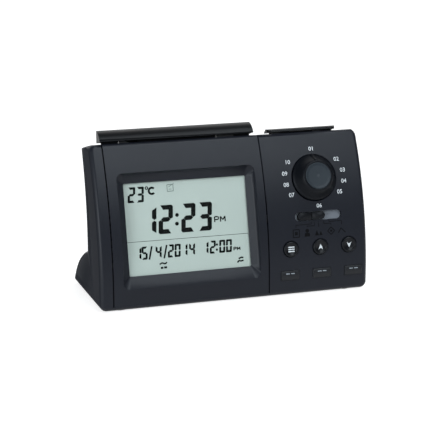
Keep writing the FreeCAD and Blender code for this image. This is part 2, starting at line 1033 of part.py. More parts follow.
def make_bar(left, right, points, gap, travel, posts, end_radius):
    shell = hollowed_bar(left, right, points, gap, end_radius)
    full = bar_solid(left, right, points, gap, end_radius)
    pieces = [shell]
    for x in posts:
        pieces.append(post_root(x, points, gap, points[4]).common(full))
        pieces += bar_post(x, gap, travel)
    return placed(fused(pieces), top_frame)


def make_bar_board():
    low = -shelf_depth + seat_gap / 2
    left = snooze_posts[0] - bar_post_length / 2
    right = light_posts[1] + bar_post_length / 2
    plate = block((left, bar_board_front, low), (right, bar_board_back, low + bar_board_thickness))
    return placed(plate, top_frame)


def make_bar_domes():
    middle = (bar_post_front + bar_post_back) / 2
    low = bar_board_top()
    domes = [
        pin(bar_dome_radius, low, low + bar_dome_rise, x, middle)
        for x in snooze_posts + light_posts
    ]
    return placed(Part.makeCompound(domes), top_frame)


# Front cover
def inside_post(radius, end, x, y, frame):
    """A post that stands on the inner side of the front wall."""
    return placed(pin(radius, end, far / 10, x, y), frame).common(shifted_case(wall / 2))


def display_opening():
    """The window through the cover that the fascia's recess passes through."""
    opening = rounded_block(
        recess_width + 2 * funnel_wall + 0.6,
        recess_height + 2 * funnel_wall + 0.6,
        recess_corner + funnel_wall,
        -far / 10,
        far,
        0,
        -recess_drop,
    )
    return placed(opening, lcd_frame)


def ledge():
    """The step that the fascia seats on, round the display's window."""
    band = across(fascia_left - ledge_margin, fascia_right + ledge_margin)
    start = fascia_thickness + seat_gap
    return skin(start, start + ledge_thickness).common(band)


def board_posts():
    posts = []
    for x, y in board_corners():
        reach = placed(pin(board_post_radius, board_front, far / 10, x, y), lcd_frame)
        posts.append(reach.common(shifted_case(fascia_thickness + seat_gap + 0.2)))
    return posts


def key_posts():
    posts = []
    for x in key_post_xs:
        u, v = on_key_board(x, key_post_z)
        posts.append(inside_post(key_post_radius, -board_drop, u, v, key_board_frame))
    return posts


def slide_posts():
    return [
        inside_post(slide_post_radius, slide_board_front + seat_gap / 2, x, 0, slide_frame)
        for x in (-slide_post_x, slide_post_x)
    ]


def shelf():
    plate = block(
        (shelf_left, -far / 10, -shelf_depth - shelf_thickness),
        (shelf_right, shelf_back, -shelf_depth),
    )
    return placed(plate, top_frame).common(shifted_case(fascia_thickness + seat_gap + 0.2))


def cover_bosses(radius):
    bosses = []
    for z in cover_screw_zs:
        for x in (-cover_screw_x, cover_screw_x):
            bosses.append(pin_along_y(radius, front_y, rear_y, x, z).common(shifted_case(wall / 2)))
    return bosses


def button_holes():
    holes = []
    for x in button_xs.values():
        frame = panel_frame(x, button_z)
        hole = rod(button_radius + 0.2, -far / 30, far / 30)
        mouth = Part.makeCone(
            button_radius + 0.2,
            button_radius + 0.2 + 2 * button_chamfer,
            2 * button_chamfer,
            V(0, 0, -button_chamfer),
        )
        holes += [placed(hole, frame), placed(mouth, frame)]
    for x in key_xs.values():
        frame = panel_frame(x, key_z)
        hole = rounded_block(key_width + 0.4, key_height + 0.4, key_corner + 0.2, -wall * 2, wall * 2)
        holes.append(placed(hole, frame))
    return holes


def bar_holes():
    holes = []
    for x in snooze_posts + light_posts:
        hole = block(
            (x - bar_post_length / 2 - 0.25, bar_post_front - 0.25, -wall - 0.5),
            (x + bar_post_length / 2 + 0.25, bar_post_back + 0.25, wall),
        )
        holes.append(placed(hole, top_frame))
    return holes


def panel_cuts():
    seat = rod(knob_radius + seat_margin, -seat_depth, far / 30)
    bushing = rod(bushing_radius + seat_gap, -far / 30, 1)
    slot = stadium(slot_length, slot_height, -wall * 2, wall * 2)
    pocket = skin(0, fascia_thickness + seat_gap).common(
        across(fascia_left - groove / 2, fascia_right + groove / 2, fascia_bottom - seat_gap)
    )
    cuts = [placed(seat, knob_frame), placed(bushing, knob_frame), placed(slot, slide_frame), pocket]
    return cuts + button_holes() + bar_holes()


def foot_pad_spots():
    front = front_y + foot_pad_front
    back = rear_y - foot_pad_rear
    return [(sx * foot_pad_x, y) for sx in (-1, 1) for y in (front, back)]


def foot_pad_holes():
    radius = foot_pad_radius + foot_pad_clearance
    return [pin(radius, -1, case_lift + foot_pad_recess, x, y) for x, y in foot_pad_spots()]


def make_front_cover():
    shell = outside.cut(hollow)
    inner = [ledge(), shelf()] + board_posts() + key_posts() + slide_posts()
    whole = fused([shell] + inner + cover_bosses(boss_radius))
    whole = whole.common(half_space(0, True))
    screws = cover_bosses(screw_radius + screw_clearance)
    board_pilots = []
    for x, y in board_corners():
        radius = board_screw_radius + screw_clearance
        pilot = pin(radius, board_front - 1, board_front + screw_bite + seat_gap, x, y)
        board_pilots.append(placed(pilot, lcd_frame))
    pilots = [s.common(screw_reach()) for s in screws]
    cuts = pilots + board_pilots + panel_cuts() + foot_pad_holes() + [display_opening()]
    return whole.cut(cuts)


def screw_reach():
    """The depth that the cover screws reach in front of the parting plane."""
    deep = half_space(-cover_screw_bite - seat_gap, True)
    return block((-far, -far, -far), (far, far, far)).cut(deep)


# Rear cover
def screw_seat_y(z):
    return rear_wall_y(z) - counterbore_depth


def tube_spots():
    return [(sx * cover_screw_x, z) for z in cover_screw_zs for sx in (-1, 1)]


def tongue():
    ring = case_solid(wall + seat_gap + 0.1).cut(case_solid(wall + seat_gap + 0.1 + tongue_thickness))
    reach = half_space(-tongue_depth, False).common(half_space(3.0, True))
    reach = reach.common(across(-far, far, -far, tongue_top))
    ring = ring.common(reach)
    keep_clear = [pin_along_y(boss_radius + 0.4, front_y, rear_y, x, z) for x, z in tube_spots()]
    return ring.cut(keep_clear)


def tongue_root():
    """The step that joins the tongue to the wall behind the parting line."""
    ring = case_solid(wall - 0.3).cut(case_solid(wall + seat_gap + 0.1 + tongue_thickness))
    reach = half_space(parting_gap, False).common(half_space(3.0, True))
    return ring.common(reach).common(across(-far, far, -far, tongue_top))


def foot_sector(start, end, half_width):
    """A wedge of the foot between two angles round the foot's centre."""
    reach = 2 * foot_radius
    ends = [math.radians(a) for a in (start, end)]
    corners = [V(-half_width, foot_centre_y, foot_centre_z)]
    for a in ends:
        y = foot_centre_y + reach * math.cos(a)
        z = foot_centre_z + reach * math.sin(a)
        corners.append(V(-half_width, y, z))
    face = Part.Face(Part.makePolygon(corners + corners[:1]))
    return face.extrude(V(2 * half_width, 0, 0))


def foot_ring(outer, inner, half_width):
    """A thick tube round the foot's centre, between two radii."""
    start = V(-half_width, foot_centre_y, foot_centre_z)
    big = Part.makeCylinder(outer, 2 * half_width, start, V(1, 0, 0))
    return big.cut(Part.makeCylinder(inner, 2 * half_width, start, V(1, 0, 0)))


cell_z = case_lift + wall + cell_radius + cell_clearance
cell_room = foot_radius - door_thickness - cell_clearance - cell_radius - 0.3
rear_cell_y = foot_centre_y + math.sqrt(cell_room ** 2 - (cell_z - foot_centre_z) ** 2)
front_cell_y = rear_cell_y - cell_pitch
bay_front_y = front_cell_y - cell_radius - bay_front_gap
bay_half = cell_length / 2 + contact_room


def battery_bay():
    """Walls round the cells: one in front of them and one at each end."""
    top = foot_centre_z + foot_radius
    front = block(
        (-bay_half - bay_wall, bay_front_y - bay_wall, case_lift),
        (bay_half + bay_wall, bay_front_y, top),
    )
    ends = [
        block(
            (side * bay_half - (bay_wall if side < 0 else 0), bay_front_y - bay_wall, case_lift),
            (side * bay_half + (bay_wall if side > 0 else 0), rear_y, top),
        )
        for side in (-1, 1)
    ]
    return [w.common(case_solid(wall / 2)) for w in [front] + ends]


def rear_tubes():
    tubes = []
    for x, z in tube_spots():
        tubes.append(pin_along_y(tube_radius, front_y, rear_y, x, z).common(case_solid(wall / 2)))
    return tubes


def rear_screw_cuts():
    cuts = []
    for x, z in tube_spots():
        seat = screw_seat_y(z)
        cuts.append(pin_along_y(counterbore_radius, seat, rear_y, x, z))
        cuts.append(pin_along_y(screw_radius + 0.2, front_y, rear_y, x, z))
    return cuts


def grille_cuts():
    frame = rear_frame(speaker_x, speaker_z)
    cuts = []
    for row in range(-grille_rows + 1, grille_rows):
        y = row * grille_pitch
        half = math.sqrt(grille_radius ** 2 - y ** 2)
        low, high = y - grille_slot / 2, y + grille_slot / 2
        cuts.append(placed(block((-half, low, -wall * 2), (half, high, wall * 2)), frame))
    return cuts


speaker_front = -wall - speaker_seat


def speaker_ring():
    """The collar that locates the speaker, and the two posts for its clamp."""
    frame = rear_frame(speaker_x, speaker_z)
    clamp_level = speaker_front - speaker_rim - seat_gap
    outer = rod(speaker_radius + 1.4, clamp_level + seat_gap / 2, 1)
    inner = rod(speaker_radius + seat_gap + 0.1, clamp_level - 1, speaker_front)
    cone_room = rod(cone_radius + 0.6, clamp_level - 1, 2)
    collar = outer.cut(inner).cut(cone_room)
    posts = [
        pin(clamp_post_radius, clamp_level, 1, side * clamp_post_offset, 0) for side in (-1, 1)
    ]
    inside = case_solid(wall / 2)
    return [placed(s, frame).common(inside) for s in [collar] + posts]


def door_opening():
    shell = foot_ring(foot_radius + 2 * wall, foot_radius - wall - 0.01, far)
    return shell.common(foot_sector(door_start_angle, door_end_angle, door_half_width + door_clearance))


def make_rear_cover():
    shell = outside.cut(hollow)
    whole = fused([shell] + battery_bay() + rear_tubes() + speaker_ring())
    whole = whole.common(half_space(parting_gap, False))
    whole = fused([whole, tongue_root(), tongue()])
    cuts = rear_screw_cuts() + grille_cuts() + [door_opening()]
    return whole.cut(cuts + foot_pad_holes())


# Battery door
def door_plate():
    plate = foot_ring(foot_radius, foot_radius - door_thickness, door_half_width)
    gap = math.degrees(door_clearance / foot_radius)
    return plate.common(foot_sector(door_start_angle + gap, door_end_angle - gap, far))


def door_tabs():
    step = math.degrees(door_tab_length / foot_radius)
    outer = foot_radius - wall - 0.2
    ring = foot_ring(outer, outer - door_tab_thickness, far)
    tabs = []
    for side in (-1, 1):
        x = side * door_tab_x
        strip = across(x - door_tab_width / 2, x + door_tab_width / 2)
        tabs.append(ring.common(foot_sector(door_start_angle - step, door_start_angle + 2 * step, far)).common(strip))
        base = foot_ring(foot_radius - door_thickness + 0.5, outer - door_tab_thickness, far)
        tabs.append(base.common(foot_sector(door_start_angle + 0.5, door_start_angle + 2 * step, far)).common(strip))
    return tabs


def make_door():
    body = fused([door_plate()] + door_tabs())
    gap = math.degrees(door_clearance / foot_radius)
    length = math.degrees(latch_length / foot_radius)
    slit = math.degrees(latch_slit / foot_radius)
    whole_ring = foot_ring(foot_radius + 2 * wall, foot_radius - 2 * wall, far)
    slits = []
    for side in (-1, 1):
        x = side * (latch_width / 2 + latch_slit / 2)
        strip = across(x - latch_slit / 2, x + latch_slit / 2)
        slits.append(whole_ring.common(foot_sector(door_end_angle - length, door_end_angle + length, far)).common(strip))
    ridge_ring = foot_ring(foot_radius + latch_ridge, foot_radius - 0.5, latch_width / 2 - 1)
    ridges = []
    for i in range(3):
        start = door_end_angle - gap - (2 * i + 2) * slit * 1.6
        ridges.append(ridge_ring.common(foot_sector(start, start + slit * 1.3, far)))
    return fused([body.cut(slits)] + ridges)


# Cells and contacts
def cell_spots():
    """Each cell's middle, and the side that its positive end points to."""
    return ((rear_cell_y, 1), (front_cell_y, -1))


def make_cells():
    cells = []
    for y, side in cell_spots():
        can = Part.makeCylinder(cell_radius, cell_length - cell_nub_length, V(0, 0, 0), V(1, 0, 0))
        nub = Part.makeCylinder(
            cell_nub_radius, cell_nub_length + 0.5, V(cell_length - cell_nub_length - 0.5, 0, 0), V(1, 0, 0)
        )
        cell = fused([can, nub])
        cell.translate(V(-cell_length / 2, 0, 0))
        if side < 0:
            cell.rotate(V(0, 0, 0), V(0, 0, 1), 180)
        cell.translate(V(0, y, cell_z))
        cells.append(cell)
    return Part.makeCompound(cells)


def contact_plate(side, y):
    """A flat nickel plate standing against an end wall of the bay."""
    x = side * (bay_half - seat_gap / 2)
    inner = x - side * contact_thickness
    low, high = sorted((x, inner))
    return block(
        (low, y - contact_size / 2, cell_z - contact_size / 2),
        (high, y + contact_size / 2, cell_z + contact_size / 2),
    )


def make_plates():
    plates = []
    for y, side in cell_spots():
        plate = contact_plate(side, y)
        inner = side * (bay_half - seat_gap / 2 - contact_thickness)
        tip = side * (cell_length / 2 + seat_gap)
        dimple = Part.makeCone(
            contact_size / 3, 1.6, abs(inner - tip), V(inner, y, cell_z), V(-side, 0, 0)
        )
        plates.append(fused([plate, dimple]))
    return Part.makeCompound(plates)


def make_leaf_springs():
    """Bowed leaves that push on the flat ends of the cells."""
    leaves = []
    for y, side in cell_spots():
        plate = contact_plate(-side, y)
        inner = -side * (bay_half - seat_gap / 2 - contact_thickness)
        tip = -side * (cell_length / 2 + seat_gap)
        toward = side
        low, high = cell_z - contact_size / 2, cell_z + contact_size / 2
        width = contact_size / 2
        root = V(inner, y - width / 2, low)
        bow = V(tip, y - width / 2, cell_z)
        end = V(inner, y - width / 2, high)
        back = V(tip - toward * contact_thickness, y - width / 2, cell_z)
        edges = [
            Part.Arc(root, bow, end).toShape(),
            Part.LineSegment(end, end - V(0, 0, contact_thickness)).toShape(),
            Part.Arc(end - V(0, 0, contact_thickness), back, root + V(0, 0, contact_thickness)).toShape(),
            Part.LineSegment(root + V(0, 0, contact_thickness), root).toShape(),
        ]
        leaf = Part.Face(Part.Wire(edges)).extrude(V(0, width, 0))
        leaves.append(fused([plate, leaf]))
    return Part.makeCompound(leaves)


# Speaker
def make_speaker():
    frame = rear_frame(speaker_x, speaker_z)
    rim_back = speaker_front - speaker_rim
    back = speaker_front - speaker_depth
    basket = turned(
        [
            (0, back),
            (magnet_radius, back),
            (speaker_radius - 2.0, rim_back),
            (speaker_radius, rim_back),
            (speaker_radius, speaker_front),
            (cone_radius + 0.3, speaker_front),
            (dust_cap_radius, speaker_front - cone_depth),
            (0, speaker_front - cone_depth),
        ]
    )
    return placed(basket, frame)


def make_cone():
    frame = rear_frame(speaker_x, speaker_z)
    low = speaker_front - cone_depth + seat_gap
    high = speaker_front
    shell = turned(
        [
            (0, low),
            (dust_cap_radius - 0.2, low),
            (cone_radius, high + cone_sheet),
            (cone_radius - 1.2, high + cone_sheet),
            (dust_cap_radius, low + 1.4),
            (0, low + 2.2),
        ]
    )
    return placed(shell, frame)


def make_clamp():
    frame = rear_frame(speaker_x, speaker_z)
    high = speaker_front - speaker_rim - seat_gap
    low = high - clamp_thickness
    ring = rod(speaker_radius + 1.0, low, high)
    arms = block((-clamp_post_offset, -2.2, low), (clamp_post_offset, 2.2, high))
    ends = [pin(2.6, low, high, side * clamp_post_offset, 0) for side in (-1, 1)]
    middle = rod(speaker_radius - 1.6, low - 1, high + 1)
    return placed(fused([ring, arms] + ends).cut(middle), frame)


# Screws and feet
def make_cover_screws():
    screws = []
    for x, z in tube_spots():
        seat = screw_seat_y(z)
        parting = parting_y + z * math.tan(math.radians(parting_tilt))
        tip = parting - cover_screw_bite * 0.8
        head = pin_along_y(cover_head_radius, seat, seat + cover_head_height, x, z)
        shank = pin_along_y(screw_radius, tip, seat, x, z)
        screws.append(fused([head, shank]))
    return Part.makeCompound(screws)


def make_feet():
    pads = []
    for x, y in foot_pad_spots():
        top = case_lift + foot_pad_recess - foot_pad_clearance
        pad = pin(foot_pad_radius, 0, top, x, y)
        pads.append(pad)
    return Part.makeCompound(pads)


nodes = {
    "front_cover": make_front_cover(),
    "display_fascia": make_fascia(),
    "lcd_window": make_window(),
    "lcd_panel": make_lcd(),
    "lcd_holder": make_holder(),
    "zebra_strips": make_zebra_strips(),
    "main_board": make_main_board(),
    "board_screws": make_board_screws(),
    "clock_chip": make_chip(),
    "temperature_sensor": make_sensor(),
    "rotary_switch": make_rotary_switch(),
    "switch_nut": make_switch_nut(),
    "selector_shaft": make_shaft(),
    "selector_knob": make_knob(),
    "knob_cap": make_knob_cap(),
    "slot_backing": make_backing(),
    "slide_switch": make_slide_switch(),
    "slide_lever": make_lever(),
    "slide_board": make_slide_board(),
    "rubber_keypad": make_keypad(),
    "key_board": make_key_board(),
    "snooze_bar": make_bar(
        snooze_left, snooze_right, snooze_points, snooze_gap, snooze_travel, snooze_posts, 0
    ),
    "light_bar": make_bar(
        light_left, light_right, light_points, light_gap, light_travel, light_posts, light_end_radius
    ),
    "bar_board": make_bar_board(),
    "bar_domes": make_bar_domes(),
    "rear_cover": make_rear_cover(),
    "battery_door": make_door(),
    "battery_cells": make_cells(),
    "contact_plates": make_plates(),
    "leaf_springs": make_leaf_springs(),
    "speaker_basket": make_speaker(),
    "speaker_cone": make_cone(),
    "speaker_clamp": make_clamp(),
    "cover_screws": make_cover_screws(),
    "rubber_feet": make_feet(),
}
for name, x in button_xs.items():
    nodes[name] = make_button(x)
for name, x in key_xs.items():
    nodes[name] = make_key(x)

for name, shape in nodes.items():
    solids = [s for s in shape.Solids]
    print(name, len(solids), shape.isValid(), round(shape.Volume, 1))
    shape.exportStep("parts/" + name + ".step")
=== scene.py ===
import bpy
import bmesh
import json
import math
from mathutils import Matrix, Vector


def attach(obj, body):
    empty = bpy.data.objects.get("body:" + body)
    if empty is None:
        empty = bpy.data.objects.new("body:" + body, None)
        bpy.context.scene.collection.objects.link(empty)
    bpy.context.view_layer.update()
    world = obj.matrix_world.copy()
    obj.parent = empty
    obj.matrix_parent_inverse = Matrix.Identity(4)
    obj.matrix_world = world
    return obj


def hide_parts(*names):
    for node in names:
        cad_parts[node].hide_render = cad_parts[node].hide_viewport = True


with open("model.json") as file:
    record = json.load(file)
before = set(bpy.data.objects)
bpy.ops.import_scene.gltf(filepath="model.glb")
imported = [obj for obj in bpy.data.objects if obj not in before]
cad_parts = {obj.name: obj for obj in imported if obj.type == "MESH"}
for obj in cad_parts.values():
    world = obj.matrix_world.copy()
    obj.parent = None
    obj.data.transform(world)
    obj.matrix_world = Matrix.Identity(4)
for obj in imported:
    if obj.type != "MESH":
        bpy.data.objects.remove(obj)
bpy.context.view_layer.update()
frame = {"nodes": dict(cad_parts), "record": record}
scene = bpy.context.scene
scene.view_settings.view_transform = "Standard"
mm = 0.001

# Case geometry in millimetres, as in the part's own source
case_depth = 79.2
case_height = 108.5
case_lift = 0.8
slab_depth = 35.4
front_y = -case_depth / 2
rear_y = case_depth / 2
front_radius = 200.0
front_spring = 10.0
front_centre_y = front_y + front_radius
rear_radius = 180.0
rear_spring = 38.0
rear_centre_y = front_y + slab_depth + rear_radius
foot_radius = 64.6
foot_centre_z = -29.4
foot_centre_y = rear_y - math.sqrt(foot_radius ** 2 - (case_lift - foot_centre_z) ** 2)
top_slope = math.radians(16.7)
top_front_y = front_centre_y - math.sqrt(front_radius ** 2 - (case_height - front_spring) ** 2)
lcd_x = -31.05
lcd_z = 52.2
lcd_tilt = math.radians(13.55)
lcd_front = -1.10
recess_depth = 8.0
button_z = 32.7
button_rise = 1.0
button_dish_depth = 0.5
key_z = 14.7
key_rise = 0.6

# How far marks lie above their surface, and how thick they are, in millimetres
print_gap = 0.02
mark_gap = 0.01
lcd_gap = 0.012
print_height = 0.01
mark_height = 0.02
segment_height = 0.015


def panel_tilt(z):
    return math.asin(max(z - front_spring, 0) / front_radius)


def panel_y(z):
    return front_centre_y - front_radius * math.cos(panel_tilt(z))


def frame_matrix(x, y, z, tilt):
    """Local X to the right, local Y up the panel, local Z out of it, in metres."""
    right = Vector((1, 0, 0))
    up = Vector((0, math.sin(tilt), math.cos(tilt)))
    out = Vector((0, -math.cos(tilt), math.sin(tilt)))
    turned = Matrix((right, up, out)).transposed().to_4x4()
    return Matrix.Translation(Vector((x, y, z)) * mm) @ turned


def panel_frame(x, z):
    return frame_matrix(x, panel_y(z), z, panel_tilt(z))


lcd_frame = frame_matrix(lcd_x, panel_y(lcd_z) + recess_depth, lcd_z, lcd_tilt)


# Camera
def make_camera():
    data = bpy.data.cameras.new("camera")
    data.lens = 126.0
    data.sensor_width = 36.0
    data.clip_start = 0.05
    data.clip_end = 20.0
    camera = bpy.data.objects.new("camera", data)
    scene.collection.objects.link(camera)
    place = Vector((-323.3, -982.8, 306.0)) * mm
    target = Vector((-13.113, -41.4, 58.0)) * mm
    camera.location = place
    camera.rotation_mode = "QUATERNION"
    camera.rotation_quaternion = (target - place).to_track_quat("-Z", "Y")
    scene.camera = camera


# Colours
def linear(rgb):
    """A colour of 0 to 255 in each channel, as the linear values that a shader takes."""
    def one(c):
        c /= 255
        return c / 12.92 if c <= 0.04045 else ((c + 0.055) / 1.055) ** 2.4
    return tuple(one(c) for c in rgb) + (1.0,)


# Node groups shared by the materials
def new_group(name, inputs, outputs):
    group = bpy.data.node_groups.new(name, "ShaderNodeTree")
    for label, kind, default in inputs:
        socket = group.interface.new_socket(name=label, in_out="INPUT", socket_type=kind)
        socket.default_value = default
    for label, kind in outputs:
        group.interface.new_socket(name=label, in_out="OUTPUT", socket_type=kind)
    start = group.nodes.new("NodeGroupInput")
    end = group.nodes.new("NodeGroupOutput")
    return group, start, end


def add(tree, kind, **values):
    node = tree.nodes.new(kind)
    for key, value in values.items():
        setattr(node, key, value)
    return node


def put(node, **values):
    for key, value in values.items():
        node.inputs[key.replace("_", " ")].default_value = value


def noise(tree, scale, detail=3.0, rough=0.5):
    """A noise field in the object's own coordinates."""
    place = add(tree, "ShaderNodeTexCoord")
    field = add(tree, "ShaderNodeTexNoise")
    put(field, Scale=scale, Detail=detail, Roughness=rough)
    tree.links.new(place.outputs["Object"], field.inputs["Vector"])
    return field


def ramp(tree, source, low, high, to_low=0.0, to_high=1.0):
    node = add(tree, "ShaderNodeMapRange")
    node.inputs["From Min"].default_value = low
    node.inputs["From Max"].default_value = high
    node.inputs["To Min"].default_value = to_low
    node.inputs["To Max"].default_value = to_high
    tree.links.new(source, node.inputs["Value"])
    return node.outputs["Result"]


def maths(tree, operation, first, second):
    node = add(tree, "ShaderNodeMath", operation=operation)
    for socket, value in zip(node.inputs, (first, second)):
        if isinstance(value, (int, float)):
            socket.default_value = value
        else:
            tree.links.new(value, socket)
    return node.outputs[0]


def blend_colour(tree, factor, first, second):
    """The second colour over the first, by a factor."""
    node = add(tree, "ShaderNodeMix", data_type="RGBA", blend_type="MIX")
    for socket, value in ((node.inputs[0], factor), (node.inputs[6], first), (node.inputs[7], second)):
        if hasattr(value, "is_output"):
            tree.links.new(value, socket)
        else:
            socket.default_value = value
    return node.outputs[2]


def make_tone_group():
    """Slight unevenness of a moulded colour, with flow marks and fine speckle."""
    group, start, end = new_group(
        "moulded_tone",
        [("Colour", "NodeSocketColor", (0.1, 0.1, 0.1, 1)), ("Amount", "NodeSocketFloat", 0.1)],
        [("Colour", "NodeSocketColor")],
    )
    flow = noise(group, scale=22.0, detail=4.0, rough=0.55)
    speck = noise(group, scale=2600.0, detail=1.0, rough=0.5)
    both = maths(group, "ADD", flow.outputs["Fac"], maths(group, "MULTIPLY", speck.outputs["Fac"], 0.6))
    level = ramp(group, both, low=0.45, high=1.15, to_low=-1.0, to_high=1.0)
    gain = maths(group, "ADD", maths(group, "MULTIPLY", level, start.outputs["Amount"]), 1.0)
    scaled = add(group, "ShaderNodeVectorMath", operation="SCALE")
    group.links.new(start.outputs["Colour"], scaled.inputs[0])
    group.links.new(gain, scaled.inputs["Scale"])
    group.links.new(scaled.outputs[0], end.inputs["Colour"])
    return group


def make_gloss_group():
    """Roughness with handling marks and hairline rubs."""
    group, start, end = new_group(
        "handled_gloss",
        [("Roughness", "NodeSocketFloat", 0.4), ("Spread", "NodeSocketFloat", 0.08)],
        [("Roughness", "NodeSocketFloat")],
    )
    smudge = noise(group, scale=38.0, detail=5.0, rough=0.6)
    fine = noise(group, scale=900.0, detail=2.0, rough=0.5)
    place = add(group, "ShaderNodeTexCoord")
    stretch = add(group, "ShaderNodeMapping")
    stretch.inputs["Scale"].default_value = (60.0, 900.0, 1400.0)
    group.links.new(place.outputs["Object"], stretch.inputs["Vector"])
    rubs = add(group, "ShaderNodeTexNoise")
    put(rubs, Scale=1.0, Detail=2.0)
    group.links.new(stretch.outputs["Vector"], rubs.inputs["Vector"])
    hair = ramp(group, rubs.outputs["Fac"], low=0.62, high=0.72, to_low=0.0, to_high=0.6)
    level = maths(group, "ADD", maths(group, "ADD", smudge.outputs["Fac"], hair), -0.5)
    level = maths(group, "ADD", level, maths(group, "MULTIPLY", fine.outputs["Fac"], 0.3))
    change = maths(group, "MULTIPLY", level, start.outputs["Spread"])
    group.links.new(maths(group, "ADD", change, start.outputs["Roughness"]), end.inputs["Roughness"])
    return group


def make_grain_group():
    """Spark-eroded grain of a mould, as a normal."""
    group, start, end = new_group(
        "mould_grain",
        [("Scale", "NodeSocketFloat", 3000.0), ("Depth", "NodeSocketFloat", 0.00001)],
        [("Normal", "NodeSocketVector")],
    )
    place = add(group, "ShaderNodeTexCoord")
    pits = add(group, "ShaderNodeTexVoronoi")
    field = add(group, "ShaderNodeTexNoise")
    put(field, Detail=3.0, Roughness=0.6)
    for node in (pits, field):
        group.links.new(place.outputs["Object"], node.inputs["Vector"])
        group.links.new(start.outputs["Scale"], node.inputs["Scale"])
    height = maths(group, "ADD", pits.outputs["Distance"], field.outputs["Fac"])
    bump = add(group, "ShaderNodeBump")
    put(bump, Strength=1.0)
    group.links.new(start.outputs["Depth"], bump.inputs["Distance"])
    group.links.new(height, bump.inputs["Height"])
    group.links.new(bump.outputs["Normal"], end.inputs["Normal"])
    return group


def make_edge_group():
    """A mask that is high on worn edges and broken up by noise."""
    group, start, end = new_group(
        "edge_mask",
        [("Radius", "NodeSocketFloat", 0.0006), ("Amount", "NodeSocketFloat", 0.5)],
        [("Mask", "NodeSocketFloat")],
    )
    rounded = add(group, "ShaderNodeBevel", samples=4)
    group.links.new(start.outputs["Radius"], rounded.inputs["Radius"])
    surface = add(group, "ShaderNodeNewGeometry")
    dot = add(group, "ShaderNodeVectorMath", operation="DOT_PRODUCT")
    group.links.new(rounded.outputs["Normal"], dot.inputs[0])
    group.links.new(surface.outputs["Normal"], dot.inputs[1])
    sharp = ramp(group, dot.outputs["Value"], low=0.98, high=0.75)
    rubbing = noise(group, scale=160.0, detail=4.0, rough=0.65)
    patches = ramp(group, rubbing.outputs["Fac"], low=0.4, high=0.7)
    worn = maths(group, "MULTIPLY", sharp, patches)
    group.links.new(maths(group, "MULTIPLY", worn, start.outputs["Amount"]), end.inputs["Mask"])
    return group


def make_side_group():
    """Coarser grain on the walls that face left and right, as added roughness."""
    group, start, end = new_group(
        "side_grain",
        [("Roughness", "NodeSocketFloat", 0.4), ("Side Roughness", "NodeSocketFloat", 0.85)],
        [("Roughness", "NodeSocketFloat")],
    )
    place = add(group, "ShaderNodeTexCoord")
    parts = add(group, "ShaderNodeSeparateXYZ")
    group.links.new(place.outputs["Normal"], parts.inputs["Vector"])
    sideways = maths(group, "ABSOLUTE", parts.outputs["X"], 0.0)
    facing = ramp(group, sideways, low=0.72, high=0.95)
    gap = maths(group, "SUBTRACT", start.outputs["Side Roughness"], start.outputs["Roughness"])
    change = maths(group, "MULTIPLY", facing, gap)
    group.links.new(maths(group, "ADD", change, start.outputs["Roughness"]), end.inputs["Roughness"])
    return group


tone_group = make_tone_group()
gloss_group = make_gloss_group()
grain_group = make_grain_group()
edge_group = make_edge_group()
side_group = make_side_group()
side_roughness = {"case_plastic": 0.92, "fascia_plastic": 0.92}


def use_group(tree, group, **values):
    node = add(tree, "ShaderNodeGroup")
    node.node_tree = group
    put(node, **values)
    return node


# Worn edges: how much brighter than the plastic they are
wear_gain = 1.35
wear_lift = 16

# Finishes: colour, unevenness, roughness, its spread, specular, metallic, grain scale, grain depth, wear
finishes = {
    "case_plastic": ((18, 21, 29), 0.10, 0.40, 0.07, 0.23, 0.0, 3200.0, 0.000008, 0.22),
    "fascia_plastic": ((18, 21, 29), 0.10, 0.40, 0.07, 0.23, 0.0, 3200.0, 0.000008, 0.22),
    "bar_plastic": ((11, 12, 14), 0.12, 0.36, 0.07, 0.13, 0.0, 1500.0, 0.000002, 0.25),
    "knob_plastic": ((10, 13, 18), 0.12, 0.38, 0.07, 0.12, 0.0, 1500.0, 0.000002, 0.28),
    "knob_face": ((38, 45, 51), 0.10, 0.44, 0.08, 0.20, 0.0, 2600.0, 0.000006, 0.30),
    "button_plastic": ((11, 13, 17), 0.12, 0.34, 0.08, 0.18, 0.0, 1500.0, 0.000002, 0.22),
    "key_plastic": ((17, 19, 23), 0.12, 0.46, 0.08, 0.28, 0.0, 2400.0, 0.000006, 0.22),
    "lever_plastic": ((15, 17, 21), 0.12, 0.46, 0.08, 0.14, 0.0, 2000.0, 0.000004, 0.22),
    "backing_plastic": ((112, 117, 124), 0.05, 0.50, 0.06, 0.30, 0.0, 2600.0, 0.000006, 0.0),
    "white_plastic": ((172, 176, 180), 0.05, 0.45, 0.06, 0.40, 0.0, 2600.0, 0.000006, 0.0),
    "lcd_glass": ((189, 201, 193), 0.025, 0.60, 0.04, 0.15, 0.0, 5200.0, 0.000002, 0.0),
    "rubber": ((32, 32, 33), 0.15, 0.75, 0.10, 0.25, 0.0, 2200.0, 0.000020, 0.10),
    # Near-black seal ribs under the bars: painted shade, darker than rubber to stand in for the shadow
    # there
    "painted_shade_seal": ((9, 10, 12), 0.10, 0.80, 0.05, 0.08, 0.0, 2200.0, 0.000008, 0.0),
    "board_green": ((28, 84, 52), 0.15, 0.38, 0.10, 0.45, 0.0, 900.0, 0.000006, 0.0),
    "black_plastic": ((24, 25, 27), 0.12, 0.50, 0.08, 0.40, 0.0, 2600.0, 0.000008, 0.15),
    "speaker_paper": ((44, 42, 40), 0.20, 0.85, 0.08, 0.20, 0.0, 1800.0, 0.000030, 0.0),
    "bright_metal": ((196, 196, 192), 0.06, 0.28, 0.10, 0.50, 1.0, 1200.0, 0.000003, 0.0),
    "screw_steel": ((150, 150, 148), 0.10, 0.36, 0.12, 0.50, 1.0, 1500.0, 0.000004, 0.20),
    "cell_jacket": ((66, 104, 82), 0.06, 0.32, 0.08, 0.50, 0.0, 700.0, 0.000002, 0.12),
}


